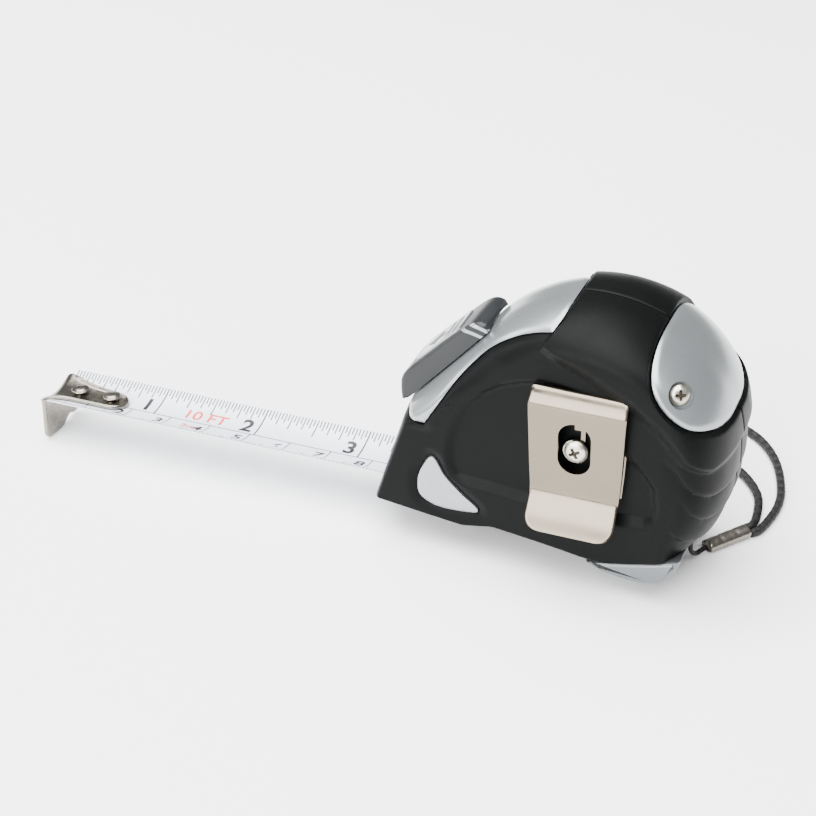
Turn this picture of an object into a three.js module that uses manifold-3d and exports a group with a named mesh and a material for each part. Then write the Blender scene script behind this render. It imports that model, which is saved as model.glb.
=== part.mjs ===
// Pocket tape measure with belt clip, slide lock and wrist loop.
// Millimetres, +Z up. The blade leaves the case towards -X, the belt clip is on the -Y side.
// Origin: on the table, at the middle of the small flat under the rear foot, in the middle plane.
import * as THREE from 'three';
import { mergeVertices } from 'three/addons/utils/BufferGeometryUtils.js';
import Module from 'manifold-3d';

const wasm = await Module();
wasm.setup();
const { Manifold, Mesh } = wasm;

// ---- driving dimensions -------------------------------------------------
const GAP = 0.3;                        // clearance between touching parts
const AXIS = { x: -12, z: 32 };         // middle of the round case
const REEL = { x: -11.2, z: 33.8 };     // the reel's axis, and the clip screw's
const CASE_R = 29.4;                    // crown radius over the reel
const REAR_R = 31;                      // radius round the rear
const HALF_WIDTH = 16.3;                // half thickness of the case at the reel axis
const PLAN_TAPER = 0.0043;              // the case narrows this much per mm towards the mouth
const CREST_FLAT = 2;                   // half width of the level strip along the crown
const SHOULDER = 8.5;                    // how far the crown rounds in towards the sides
const NOSE_TOP = { x: -51.8, z: 29.2 };
const NOSE_SHOULDER = { x: -51.2, z: 32 };
const NOSE_TIP = { x: -58, z: 8.4 };
const BASE_DIP = { x: -37.5, z: 6.6 };
const BASE_STEP = { x: -30.5, z: 8 };
const BASE_REAR = { x: -9, z: 6 };
const TANGENT_AT = 136;                 // degrees: where the crown runs straight to the nose
const GRIP_T = 2;                       // rubber skin
const SHELL_T = 1.7;                    // hard inner shell
const BAND_PROUD = 0.6;                 // raised band over the top, proud of the silver
const SIDE_PROUD = 1.5;                 // the same band on the side faces
const RECESS = 1.2;                     // depth of the round pocket in each side face
const COIL_R = 21.9, COIL_BORE = 11.8;
const DRUM_R = 11.5, DRUM_WALL = 1.2;
const BLADE_W = 15.3, BLADE_SAG = 2.1, BLADE_T = 0.35;
const BLADE_Z = 9.8;                    // underside of the blade along its middle
const HOOK_X = -142.1, BLADE_END = -22;
const POST_R = 2.4;
const CLIP = { x: -10.6, w: 20.4, t: 0.7, top: 48, mid: 19.4, low: 15.4 };
const BUTTON_HALF = 6.6;

// ---- small tools --------------------------------------------------------
function solid(geometry) {
  const g = geometry.index ? geometry.toNonIndexed() : geometry;
  for (const key of Object.keys(g.attributes)) if (key !== 'position') g.deleteAttribute(key);
  const merged = mergeVertices(g, 1e-4);
  return new Manifold(new Mesh({
    numProp: 3,
    vertProperties: new Float32Array(merged.attributes.position.array),
    triVerts: new Uint32Array(merged.index.array),
  }));
}
function geometryOf(body) {
  const mesh = body.getMesh();
  const xyz = new Float32Array(mesh.numVert * 3);
  for (let i = 0; i < mesh.numVert; i++)
    for (let k = 0; k < 3; k++) xyz[3 * i + k] = mesh.vertProperties[i * mesh.numProp + k];
  const g = new THREE.BufferGeometry();
  g.setAttribute('position', new THREE.BufferAttribute(xyz, 3));
  g.setIndex(new THREE.BufferAttribute(new Uint32Array(mesh.triVerts), 1));
  const flat = g.toNonIndexed();
  flat.computeVertexNormals();
  return flat;
}
const cut = (a, ...rest) => rest.reduce((x, y) => x.subtract(y), a);
const join = (a, ...rest) => rest.reduce((x, y) => x.add(y), a);
const both = (a, b) => a.intersect(b);
function block(x0, x1, y0, y1, z0, z1) {
  const g = new THREE.BoxGeometry(x1 - x0, y1 - y0, z1 - z0);
  g.translate((x0 + x1) / 2, (y0 + y1) / 2, (z0 + z1) / 2);
  return solid(g);
}
// round bar along Y
function bar(x, z, r, y0, y1, sides = 32) {
  const g = new THREE.CylinderGeometry(r, r, y1 - y0, sides);
  g.translate(x, (y0 + y1) / 2, z);
  return solid(g);
}
// round bar along Z
const upright = (x, y, r, z0, z1, sides = 20) => {
  const g = new THREE.CylinderGeometry(r, r, z1 - z0, sides);
  g.rotateX(Math.PI / 2);
  g.translate(x, y, (z0 + z1) / 2);
  return solid(g);
};
// straight prism along Y over a side-view outline of [x, z] points
function prism(points, y0, y1) {
  const shape = new THREE.Shape(points.map(([x, z]) => new THREE.Vector2(x, z)));
  const g = new THREE.ExtrudeGeometry(shape, { depth: y1 - y0, bevelEnabled: false });
  g.rotateX(Math.PI / 2);
  g.translate(0, y1, 0);
  return solid(g);
}
// smooth closed loop through side-view points
function loop(points, count) {
  const curve = new THREE.CatmullRomCurve3(points.map(([x, z]) => new THREE.Vector3(x, 0, z)),
    true, 'centripetal');
  return curve.getPoints(count).slice(0, -1).map((p) => [p.x, p.z]);
}
// the same loop grown or shrunk by d along its own normals
function offset(points, d) {
  const n = points.length;
  const area = points.reduce((s, p, i) => {
    const q = points[(i + 1) % n];
    return s + p[0] * q[1] - q[0] * p[1];
  }, 0);
  return points.map((p, i) => {
    const a = points[(i + n - 1) % n], b = points[(i + 1) % n];
    const t = new THREE.Vector2(b[0] - a[0], b[1] - a[1]).normalize();
    const s = area > 0 ? d : -d;
    return [p[0] + t.y * s, p[1] - t.x * s];
  });
}
// closed solid through equal rings of points, ends closed to their own middles
function loft(rings) {
  const n = rings[0].length, tri = [];
  const put = (a, b, c) => tri.push(...a, ...b, ...c);
  for (let j = 0; j + 1 < rings.length; j++)
    for (let i = 0; i < n; i++) {
      const k = (i + 1) % n;
      put(rings[j][i], rings[j + 1][i], rings[j + 1][k]);
      put(rings[j][i], rings[j + 1][k], rings[j][k]);
    }
  for (const [ring, flip] of [[rings[0], false], [rings[rings.length - 1], true]]) {
    const m = [0, 1, 2].map((k) => ring.reduce((s, p) => s + p[k], 0) / n);
    for (let i = 0; i < n; i++) {
      const a = ring[i], b = ring[(i + 1) % n];
      if (flip) put(m, b, a); else put(m, a, b);
    }
  }
  const g = new THREE.BufferGeometry();
  g.setAttribute('position', new THREE.Float32BufferAttribute(tri, 3));
  const body = solid(g);
  if (body.volume() > 0) return body;
  const turned = [];
  for (let i = 0; i < tri.length; i += 9)
    turned.push(...tri.slice(i, i + 3), ...tri.slice(i + 6, i + 9), ...tri.slice(i + 3, i + 6));
  g.setAttribute('position', new THREE.Float32BufferAttribute(turned, 3));
  return solid(g);
}

// ---- the case outline in side view --------------------------------------
const rad = THREE.MathUtils.degToRad;
const polar = (deg, r) => [AXIS.x + r * Math.cos(rad(deg)), AXIS.z + r * Math.sin(rad(deg))];
const ease = (a, b, v) => THREE.MathUtils.smoothstep(v, a, b);
const crownR = (deg) => CASE_R + (REAR_R - CASE_R) * ease(0, 1, (90 - deg) / 75)
  + 1.8 * ease(0, 1, (5 - deg) / 40);
function caseOutline() {
  const pts = [];                       // [x, z, rounding 0..1, wall 0..1]
  const run = (a, b, steps, round, wall) => {
    for (let i = 0; i < steps; i++) {
      const t = i / steps;
      pts.push([a.x + (b.x - a.x) * t, a.z + (b.z - a.z) * t, round(t), wall(t)]);
    }
  };
  const same = (v) => () => v;
  const going = (a, b) => (t) => a + (b - a) * ease(0, 1, t);
  run(NOSE_TIP, NOSE_TOP, 6, same(0.3), same(1));
  run(NOSE_TOP, NOSE_SHOULDER, 2, going(0.3, 0.6), same(1));
  const [tx, tz] = polar(TANGENT_AT, CASE_R);
  run(NOSE_SHOULDER, { x: tx, z: tz }, 7, going(0.6, 1), same(1));
  for (let a = TANGENT_AT; a > -34; a -= 4) pts.push([...polar(a, crownR(a)), 1, 1]);
  const [rx, rz] = polar(-34, crownR(-34));
  const low = { x: 8.8, z: 5 };
  run({ x: rx, z: rz }, low, 5, going(1, 0.5), going(1, 0.5));
  run(low, BASE_REAR, 5, going(0.5, 0.3), same(0.5));
  run(BASE_REAR, BASE_STEP, 5, same(0.3), same(0.5));
  run(BASE_STEP, BASE_DIP, 2, same(0.3), same(0.5));
  run(BASE_DIP, NOSE_TIP, 5, same(0.3), going(0.5, 0.7));
  return pts;
}
const OUTLINE = caseOutline();
const wide = (x) => 1 + PLAN_TAPER * (x - AXIS.x);

// the rounded body of the case, taken `inside` mm in from its outer surface (negative: proud)
function caseBody(inside, sideInside = inside, shoulder = SHOULDER) {
  const rings = [];
  const steps = 5, half = HALF_WIDTH - sideInside;
  for (let j = -steps; j <= steps; j++) {
    const u = (Math.PI / 2) * (j / steps);
    const y = Math.sign(j) * CREST_FLAT + (half - CREST_FLAT) * Math.sin(u);
    rings.push(OUTLINE.map(([x, z, round, wall]) => {
      const d = shoulder * round * (1 - Math.cos(u)) + inside * (inside > 0 ? wall : 1);
      const r = Math.hypot(x - AXIS.x, z - AXIS.z);
      const px = AXIS.x + (x - AXIS.x) * (1 - d / r);
      const pz = AXIS.z + (z - AXIS.z) * (1 - d / r);
      return [px, y * wide(px), pz];
    }));
  }
  return loft(rings);
}
const nearSide = block(-70, 40, -40, -GAP / 2, -10, 90);
const farSide = block(-70, 40, GAP / 2, 40, -10, 90);
const mirrorY = (body) => body.mirror([0, 1, 0]);

// ---- side-view outlines of the trims and reliefs -------------------------
const bandFront = [[-15.4, 70], [-15.6, 62.5], [-17, 59.5], [-19.4, 54.8]];
const bandBelow = [[-9.9, 51.3], [-1.5, 47.5], [5.6, 42.6], [11, 37], [16, 34.5], [21, 35.5]];
const bandOutline = [...bandFront, ...bandBelow, [40, 42], [40, 70]];
const capInner = [[3, 66], [2.6, 62], [2.3, 58], [3, 54], [4.5, 50.4], [7.2, 47.2], [11, 44.6],
  [15, 42.8], [18, 41.4], [24, 40.4]];
const capOutline = [...capInner, [40, 48], [40, 70], [4, 76]];
const frontInner = [];
for (let a = 0; a <= 9; a++) frontInner.push(polar(104 + 4 * a, 26.4 + 0.07 * a));
const frontOutline = [[-15.9, 70], [-16.1, 62.5], [-17.4, 59.4], ...frontInner.slice(1),
  [-36.4, 45.1], [-38.2, 42.7], [-41.1, 38], [-43.3, 34.2], [-45, 31.2], [-49, 31.3], [-64, 34],
  [-64, 70]];
const teardrop = loop([[-43.2, 23.3], [-45.2, 20.6], [-46.4, 17], [-45.9, 13.2], [-42.4, 11.4],
  [-37.5, 11.4], [-32.4, 12.6], [-36.4, 15.8], [-40.2, 19.2]], 40);
const pocket = [];
for (let a = 60; a <= 300; a += 12) {
  const r = 23.3, x = -16.8 + r * Math.cos(rad(a)), z = 25 + r * Math.sin(rad(a));
  if (z > 18) pocket.push([x, z]);
}
pocket.push([-30, 18.1], [-18, 17.6], [-4, 17.8], [5.4, 19.6], [7, 24], [6.2, 29.4], [2, 34.4],
  [-3.2, 37.4], [-5.2, 40.4]);

// ---- case: hard inner shells under a rubber skin -------------------------
const outer = caseBody(0);
const skinInner = caseBody(GRIP_T);
const shellOuter = caseBody(GRIP_T + GAP);
const shellInner = caseBody(GRIP_T + GAP + SHELL_T);
const raised = both(caseBody(-BAND_PROUD, -SIDE_PROUD, SHOULDER - 1), prism(bandOutline, -40, 40));
const bladePath = block(-70, -20, -8.9, 8.9, 9.2, 14.3);
const footWindow = block(-8.3, 8.3, -40, 40, -5, 7.4);
const lockSlot = both(block(-48.4, -36.9, -2.4, 2.4, 30, 60), cut(outer, caseBody(8)));

const screwAt = { x: 8.9, z: 50.2 };
const strapHole = upright(10.4, 0, 1.3, 0, 14, 16);
const gripWhole = cut(join(outer, raised), skinInner, strapHole,
  prism(offset(frontOutline, GAP), -40, 40), prism(offset(capOutline, GAP), -40, 40),
  prism(offset(teardrop, GAP), -40, 40), footWindow, bladePath);
const clipSeat = block(CLIP.x - CLIP.w / 2 - 0.5, CLIP.x + CLIP.w / 2 + 0.5, -40,
  -(HALF_WIDTH - RECESS) - 0.1, 23.5, CLIP.top + 1.4);
function gripHalf(side) {
  // a pocket in the side face, parallel to the tapering face, its wall sloping in
  const slice = (inset, depth) => {
    const pts = offset(pocket, -inset);
    return pts.map(([x, z]) => [x, -(HALF_WIDTH - depth) * wide(x), z]);
  };
  const tool = loft([slice(-1, -2.5), slice(0, -0.01), slice(1.6, RECESS)]);
  let half = cut(both(gripWhole, nearSide), cut(tool, prism(bandOutline, -40, 40)));
  if (side > 0) half = mirrorY(half);
  else half = cut(half, bar(REEL.x, REEL.z, 1.7, -40, 0, 20), clipSeat);
  return half;
}
const leftGrip = gripHalf(-1);
const rightGrip = gripHalf(1);

function shellHalf(side) {
  let whole = cut(shellOuter, shellInner, bladePath, lockSlot);
  let half = both(whole, nearSide);
  const boss = both(bar(screwAt.x, screwAt.z, 2.5, -20, -GAP / 2, 24), shellOuter);
  const seat = both(bar(REEL.x, REEL.z, 5, -20, -11.4, 28), shellOuter);
  half = join(half, boss, seat);
  half = cut(half, bar(REEL.x, REEL.z, POST_R + GAP, -12.6, 0, 28));
  if (side > 0) {
    half = cut(mirrorY(half), bar(screwAt.x, screwAt.z, 1.4, -1, 12, 16));
    return half;
  }
  return cut(half, bar(screwAt.x, screwAt.z, 1.5, -40, 1, 20),
    bar(REEL.x, REEL.z, 1.7, -40, -10, 20));
}

// ---- silver trims ---------------------------------------------------------
const skinLayer = cut(outer, caseBody(GRIP_T));
const frontBand = cut(both(skinLayer, prism(frontOutline, -40, 40)),
  lockSlot, bladePath);
const capLayer = cut(caseBody(-BAND_PROUD + 0.4, -SIDE_PROUD + 0.6, SHOULDER - 0.6),
  caseBody(GRIP_T));
const rearCap = cut(both(capLayer, prism(capOutline, -40, 40)),
  bar(screwAt.x, screwAt.z, 2.9, -40, -11, 24), bar(screwAt.x, screwAt.z, 1.5, -40, 9, 20));

const tearPlate = both(cut(outer, caseBody(1.6)), prism(teardrop, -40, -5));

// the foot bulges down to a small flat: flatter along its width than along its length
function footBody() {
  const n = 40, reach = 8, halfY = 14, deep = 5, shave = 0.25, at = 0;
  const level = (z) => {
    const q = (z + shave) / (deep + shave), ring = [];
    for (let i = 0; i < n; i++) {
      const a = (2 * Math.PI * i) / n, c = Math.cos(a), v = Math.sin(a);
      ring.push([at + reach * q ** 0.45 * Math.sign(c) * Math.abs(c) ** 0.9,
        halfY * q ** 0.385 * Math.sign(v) * Math.abs(v) ** 0.7, z]);
    }
    return ring;
  };
  const rings = [0, 0.15, 0.5, 1.1, 2, 3.2, deep].map(level);
  rings.push(level(deep).map(([x, y]) => [x, y, 7.1]));
  return rings;
}
const foot = cut(loft(footBody()), skinInner);

// ---- reel: drum, spring, coiled blade ------------------------------------
const ring = (r1, r0, y0, y1, sides) =>
  cut(bar(REEL.x, REEL.z, r1, y0, y1, sides), bar(REEL.x, REEL.z, r0, y0 - 1, y1 + 1, sides));
const coil = ring(COIL_R, COIL_BORE, -BLADE_W / 2, BLADE_W / 2, 64);
const web = ring(DRUM_R, POST_R + GAP, 7, 8.4, 48);
const drum = join(ring(DRUM_R, DRUM_R - DRUM_WALL, -8.4, 8.4, 48), web);
const post = cut(bar(REEL.x, REEL.z, POST_R, -12.3, 12.3, 28), bar(REEL.x, REEL.z, 1.35, -13, -2, 20));

function spiralSpring() {
  const turns = 4.5, steps = 110, r0 = POST_R + 0.5, r1 = DRUM_R - DRUM_WALL - 0.9, t = 0.45;
  const edge = (add) => {
    const out = [];
    for (let i = 0; i <= steps; i++) {
      const s = i / steps, a = 2 * Math.PI * turns * s, r = r0 + (r1 - r0) * s + add;
      out.push([REEL.x + r * Math.cos(a), REEL.z + r * Math.sin(a)]);
    }
    return out;
  };
  return prism([...edge(0), ...edge(t).reverse()], -7.4, 6.4);
}

// ---- blade and end hook ---------------------------------------------------
function bladeBody(x0, x1) {
  const across = 14, rings = [];
  for (const x of [x0, (x0 + x1) / 2, x1]) {
    const under = [], over = [];
    for (let i = 0; i <= across; i++) {
      const v = (2 * i) / across - 1;
      const z = BLADE_Z + BLADE_SAG * v * v;
      under.push([x, (v * BLADE_W) / 2, z]);
      over.push([x, (v * BLADE_W) / 2, z + BLADE_T]);
    }
    rings.push([...under, ...over.reverse()]);
  }
  return loftFlat(rings);
}
// like loft, for thin bent sections: the ends are closed strip by strip
function loftFlat(rings) {
  const n = rings[0].length, tri = [];
  const put = (a, b, c) => tri.push(...a, ...b, ...c);
  for (let j = 0; j + 1 < rings.length; j++)
    for (let i = 0; i < n; i++) {
      const k = (i + 1) % n;
      put(rings[j][i], rings[j + 1][k], rings[j + 1][i]);
      put(rings[j][i], rings[j][k], rings[j + 1][k]);
    }
  for (const [r, flip] of [[rings[0], true], [rings[rings.length - 1], false]])
    for (let i = 0; i < n / 2 - 1; i++) {
      const q = [r[i], r[i + 1], r[n - 2 - i], r[n - 1 - i]];
      if (flip) { put(q[0], q[3], q[2]); put(q[0], q[2], q[1]); }
      else { put(q[0], q[1], q[2]); put(q[0], q[2], q[3]); }
    }
  const g = new THREE.BufferGeometry();
  g.setAttribute('position', new THREE.Float32BufferAttribute(tri, 3));
  const body = solid(g);
  if (body.volume() > 0) return body;
  const turned = [];
  for (let i = 0; i < tri.length; i += 9)
    turned.push(...tri.slice(i, i + 3), ...tri.slice(i + 6, i + 9), ...tri.slice(i + 3, i + 6));
  g.setAttribute('position', new THREE.Float32BufferAttribute(turned, 3));
  return solid(g);
}
const RIVETS = [-136.1, -127.9];
let blade = bladeBody(HOOK_X + 1.5, BLADE_END);
for (const x of RIVETS) blade = cut(blade, upright(x, 0, 1.5, 5, 16));

// the hook: a tab that follows the blade's hollow, flaring to a plate that turns down at the end
const TAB_T = 0.55, TAB_L = 18.7, TAB_ROUND = 14.9, TAB_HALF = 3.55, TAB_MID = -0.85, BEND_DROP = 1.1;
const hollow = (y) => BLADE_Z + BLADE_SAG * (y / (BLADE_W / 2)) ** 2 + BLADE_T;
function hookBody() {
  const rings = [], across = 12;
  const spans = [[-0.9, -6.6, 6], [0, -6.6, 6], [1.2, -6, 5.7], [2.4, -5.2, 5.2], [4, -4.6, 4.7],
    [6, -4.4, 4], [8.4, -4.4, 3.5], [TAB_ROUND, TAB_MID - TAB_HALF, TAB_MID + TAB_HALF]];
  for (const t of [0.35, 0.65, 0.85, 0.96]) {
    const w = TAB_HALF * Math.sqrt(1 - t * t) + 0.4 * (1 - t);
    spans.push([TAB_ROUND + (TAB_L - TAB_ROUND) * t, TAB_MID - w, TAB_MID + w]);
  }
  for (const [dx, y0, y1] of spans) {
    const low = [], high = [];
    for (let i = 0; i <= across; i++) {
      const y = y0 + ((y1 - y0) * i) / across;
      const z = hollow(y) + 0.25 - BEND_DROP * Math.max(0, (1.2 - dx) / 2.1) ** 1.6;
      low.push([HOOK_X + dx, y, z]);
      high.push([HOOK_X + dx, y, z + TAB_T]);
    }
    rings.push([...low, ...high.reverse()]);
  }
  const edge = [];                     // the plate seen along the blade: [y, z]
  for (let i = 0; i <= 8; i++) {
    const y = 6 - (12.4 * i) / 8;
    edge.push([y, hollow(y) + 0.25 + TAB_T - BEND_DROP]);
  }
  edge.push([-6.4, 1.6], [-5.6, 0.6], [-3.4, 0.3], [1.2, 0.3], [2.9, 1.3], [4, 1.7], [5.8, 1],
    [7.4, 1], [8.5, 1.9], [8.8, 3.4], [8, 7]);
  const face = new THREE.Shape(edge.map(([y, z]) => new THREE.Vector2(y, z)));
  const plate = new THREE.ExtrudeGeometry(face, { depth: 0.9, bevelEnabled: false });
  plate.rotateX(Math.PI / 2);
  plate.rotateZ(Math.PI / 2);
  plate.translate(HOOK_X - 0.9, 0, 0);
  return RIVETS.reduce((b, x) => cut(b, upright(x, 0, 1.5, 5, 16)), join(loftFlat(rings), solid(plate)));
}
const hookTop = hollow(0) + 0.25 + TAB_T;
function rivet(x) {
  const domed = new THREE.LatheGeometry([[0, 9.5], [1.9, 9.5], [1.9, 9.72], [1.1, 9.78],
    [1.1, hookTop + 0.75], [2.1, hookTop + 0.75], [1.9, hookTop + 1.1], [1.2, hookTop + 1.3],
    [0, hookTop + 1.4]].map(([r, z]) => new THREE.Vector2(r, z)), 20);
  domed.rotateX(Math.PI / 2);
  domed.translate(x, 0, 0);
  return solid(domed);
}

// ---- slide lock ------------------------------------------------------------
const SLOPE = rad(45);
function lockButton() {
  const side = [[-53, 31], [-53.2, 36], [-51.4, 39], [-38.9, 51.6], [-36.6, 53.2], [-34.6, 52.8]];
  for (let a = 138; a < TANGENT_AT; a += 4) side.push(polar(a, CASE_R + GAP + 0.1));
  const [tx, tz] = polar(TANGENT_AT, CASE_R + GAP + 0.1);
  side.push([-50.2, 33]);
  const shape = new THREE.Shape(side.map(([x, z]) => new THREE.Vector2(x, z)));
  const g = new THREE.ExtrudeGeometry(shape, { depth: 2 * BUTTON_HALF - 2.4, bevelEnabled: true,
    bevelThickness: 1.2, bevelSize: 1.1, bevelOffset: -1.1, bevelSegments: 3 });
  g.rotateX(Math.PI / 2);
  g.translate(0, BUTTON_HALF - 1.2, 0);
  return cut(solid(g), caseBody(-GAP));
}
function lockTongue() {
  const path = [[-48.4, 39.6], [-42.9, 45.6], [-38.8, 41], [-38.4, 30], [-36.8, 20], [-35.6, 12.7],
    [-39.3, 12.7], [-40.3, 20], [-41.6, 30], [-43.4, 36]];
  return both(prism(path, -1.8, 1.8), caseBody(0));
}

// ---- belt clip and screws --------------------------------------------------
const faceY = (inside) => -(HALF_WIDTH - inside);
function beltClip() {
  const t = CLIP.t, inner = faceY(RECESS) - GAP - 0.05, gapY = 3;
  const line = [];                      // middle line of the strip, [y, z] from inner foot to lip
  line.push([inner - t / 2, 24.5], [inner - t / 2, 38], [inner - t / 2, CLIP.top - 1.8]);
  const cy = inner - t / 2 - gapY / 2, r = gapY / 2;
  for (let a = 30; a <= 150; a += 30)
    line.push([cy + r * Math.cos(rad(a)), CLIP.top - 1.8 + 1.3 * Math.sin(rad(a))]);
  line.push([cy - r, CLIP.top - 2.2], [cy - r - 0.1, 43], [cy - r + 0.7, 28],
    [cy - r + 0.8, CLIP.mid + 1.2], [cy - r + 0.1, CLIP.mid - 0.6], [cy - r - 1.6, CLIP.low + 1.7],
    [cy - r - 4, CLIP.low + 0.5]);
  const n = line.length, left = [], right = [];
  line.forEach((p, i) => {
    const a = line[Math.max(i - 1, 0)], b = line[Math.min(i + 1, n - 1)];
    const d = new THREE.Vector2(b[0] - a[0], b[1] - a[1]).normalize();
    left.push([p[0] - (d.y * t) / 2, p[1] + (d.x * t) / 2]);
    right.push([p[0] + (d.y * t) / 2, p[1] - (d.x * t) / 2]);
  });
  const shape = new THREE.Shape([...left, ...right.reverse()].map(([y, z]) => new THREE.Vector2(y, z)));
  const g = new THREE.ExtrudeGeometry(shape, { depth: CLIP.w, bevelEnabled: false });
  g.rotateY(Math.PI / 2);
  g.rotateX(Math.PI / 2);
  g.translate(CLIP.x - CLIP.w / 2, 0, 0);
  let body = solid(g);
  // rounded, slightly narrowing outline seen from the side
  const plan = new THREE.Shape();
  const w = CLIP.w / 2, lw = w - 0.9, c = 3.2;
  plan.moveTo(-w + 0.6, CLIP.top + 2);
  plan.lineTo(-w, CLIP.top - 3);
  plan.lineTo(-w + 0.5, 30);
  plan.lineTo(-lw - 0.4, CLIP.low + 7);
  plan.quadraticCurveTo(-lw - 0.6, CLIP.low + c * 0.5, -lw + c, CLIP.low - 0.3);
  plan.lineTo(lw - c, CLIP.low - 0.3);
  plan.quadraticCurveTo(lw + 0.6, CLIP.low + c * 0.5, lw + 0.4, CLIP.low + 7);
  plan.lineTo(w - 0.5, 30);
  plan.lineTo(w, CLIP.top - 3);
  plan.lineTo(w - 0.6, CLIP.top + 2);
  const outline = plan.getPoints(6).map((p) => [p.x + CLIP.x, p.y]);
  body = both(body, prism(outline, -40, 0));
  const slotShape = [];
  for (let a = 0; a <= 180; a += 20) slotShape.push([CLIP.x + 0.2 + 3.9 * Math.cos(rad(a)),
    38.4 + 4 * Math.sin(rad(a))]);
  for (let a = 180; a <= 360; a += 20) slotShape.push([CLIP.x + 0.2 + 3.9 * Math.cos(rad(a)),
    33.6 + 4 * Math.sin(rad(a))]);
  body = cut(body, prism(slotShape, -40, inner - t - 0.6));
  return cut(body, bar(REEL.x, REEL.z, 1.6, -40, 0, 20));
}
function panScrew(x, z, headOut, headR, headH, shankR, shankTo, driveR) {
  const head = new THREE.LatheGeometry([[0, 0], [headR, 0], [headR, headH * 0.45],
    [headR * 0.86, headH * 0.8], [headR * 0.5, headH], [0, headH]]
    .map(([r, y]) => new THREE.Vector2(r, -y)).reverse(), 28);
  head.translate(x, headOut, z);
  let body = join(solid(head), bar(x, z, shankR, headOut - 0.1, shankTo, 20));
  const arm = driveR, t = headR * 0.15;
  body = cut(body, block(x - arm, x + arm, headOut - 9, headOut - headH + 0.75, z - t, z + t),
    block(x - t, x + t, headOut - 9, headOut - headH + 0.75, z - arm, z + arm));
  return body;
}

// ---- wrist strap -------------------------------------------------------------
function tube(points, radius, steps, sides) {
  const curve = new THREE.CatmullRomCurve3(points.map((p) => new THREE.Vector3(...p)), false, 'centripetal');
  const section = new THREE.Shape();
  for (let i = 0; i < sides; i++) {
    const a = (2 * Math.PI * i) / sides;
    if (i) section.lineTo(radius * Math.cos(a), radius * Math.sin(a));
    else section.moveTo(radius, 0);
  }
  const g = new THREE.ExtrudeGeometry(section, { steps, bevelEnabled: false, extrudePath: curve });
  return solid(g);
}
const LOOP_R = 1, THIN_R = 0.55, CORD_Z = 1.1;
const FERRULE = { a: [12.6, 6.6], b: [19.2, 15.6], half: 1.8, tall: 1.3 };
const run = new THREE.Vector2(FERRULE.b[0] - FERRULE.a[0], FERRULE.b[1] - FERRULE.a[1]).normalize();
const EXIT = [10.4, 0];                  // where the thin cord leaves the case
function ferruleBody() {
  const length = Math.hypot(FERRULE.b[0] - FERRULE.a[0], FERRULE.b[1] - FERRULE.a[1]);
  const g = new THREE.CylinderGeometry(1, 1, length, 20);
  g.scale(FERRULE.half, 1, FERRULE.tall);
  g.rotateZ(-Math.atan2(run.x, run.y));
  g.translate((FERRULE.a[0] + FERRULE.b[0]) / 2, (FERRULE.a[1] + FERRULE.b[1]) / 2, FERRULE.tall);
  return solid(g);
}
// a strand beside the ferrule's middle line, `out` mm beyond its end
const strand = (out, side) => [FERRULE.b[0] + run.x * out + run.y * side,
  FERRULE.b[1] + run.y * out - run.x * side, CORD_Z];
const loopRoute = [strand(GAP, 1.05), strand(2.4, 1.15),
  ...[[22.9, 22.4], [23.4, 28.2], [22.7, 34.3], [18.7, 46.1], [12.6, 54.3], [2, 60.2], [-14, 63.4],
    [-30, 62.8], [-41, 58.8], [-46, 52], [-42, 45.6], [-30, 42.6], [-14, 44], [-2, 44.6],
    [7, 42], [13.5, 37.3], [18.2, 30.4], [19.7, 24]].map(([x, y]) => [x, y, CORD_Z]),
  strand(2.6, -1.15), strand(GAP, -1.05)];
const thinRoute = [[EXIT[0], EXIT[1], 7.9], [EXIT[0], EXIT[1] + 0.15, 5.2],
  [EXIT[0] + 0.1, EXIT[1] + 1.4, 2.8], [EXIT[0] + 0.7, EXIT[1] + 3.4, 1.3],
  [FERRULE.a[0] - run.x * GAP, FERRULE.a[1] - run.y * GAP, FERRULE.tall]];

function material(color, roughness, metalness) {
  return new THREE.MeshStandardMaterial({ color, roughness, metalness });
}
const group = new THREE.Group();
group.name = 'tape_measure';
function add(name, body, color, roughness, metalness) {
  const mesh = new THREE.Mesh(geometryOf(body), material(color, roughness, metalness));
  mesh.name = name;
  group.add(mesh);
}
add('left_grip', leftGrip, 0x1b1d1f, 0.7, 0);
add('right_grip', rightGrip, 0x1b1d1f, 0.7, 0);
add('left_shell', shellHalf(-1), 0x26282b, 0.5, 0);
add('right_shell', shellHalf(1), 0x26282b, 0.5, 0);
add('front_band', frontBand, 0xb4b8ba, 0.3, 0.6);
add('rear_cap', rearCap, 0xb4b8ba, 0.3, 0.6);
add('left_nose_inset', tearPlate, 0xb4b8ba, 0.3, 0.6);
add('right_nose_inset', mirrorY(tearPlate), 0xb4b8ba, 0.3, 0.6);
add('foot', foot, 0xb4b8ba, 0.3, 0.6);
add('blade_coil', coil, 0xe6e8ea, 0.4, 0.3);
add('reel_drum', drum, 0xd8d4c8, 0.5, 0);
add('mainspring', spiralSpring(), 0x7d8590, 0.3, 1);
add('reel_post', post, 0x303336, 0.5, 0);
add('blade', blade, 0xe6e8ea, 0.4, 0.3);
add('end_hook', hookBody(), 0xc9c4bc, 0.25, 1);
add('hook_rivet_outer', rivet(RIVETS[0]), 0xc9c4bc, 0.25, 1);
add('hook_rivet_inner', rivet(RIVETS[1]), 0xc9c4bc, 0.25, 1);
add('lock_button', lockButton(), 0x1b1d1f, 0.6, 0);
add('lock_tongue', lockTongue(), 0x303336, 0.5, 0);
add('belt_clip', beltClip(), 0xcfcac2, 0.2, 1);
add('clip_screw', panScrew(REEL.x, REEL.z, faceY(RECESS) - CLIP.t - 2 * GAP, 2.8, 1.2, 1, -5, 1.7),
  0xcfcac2, 0.3, 1);
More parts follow.
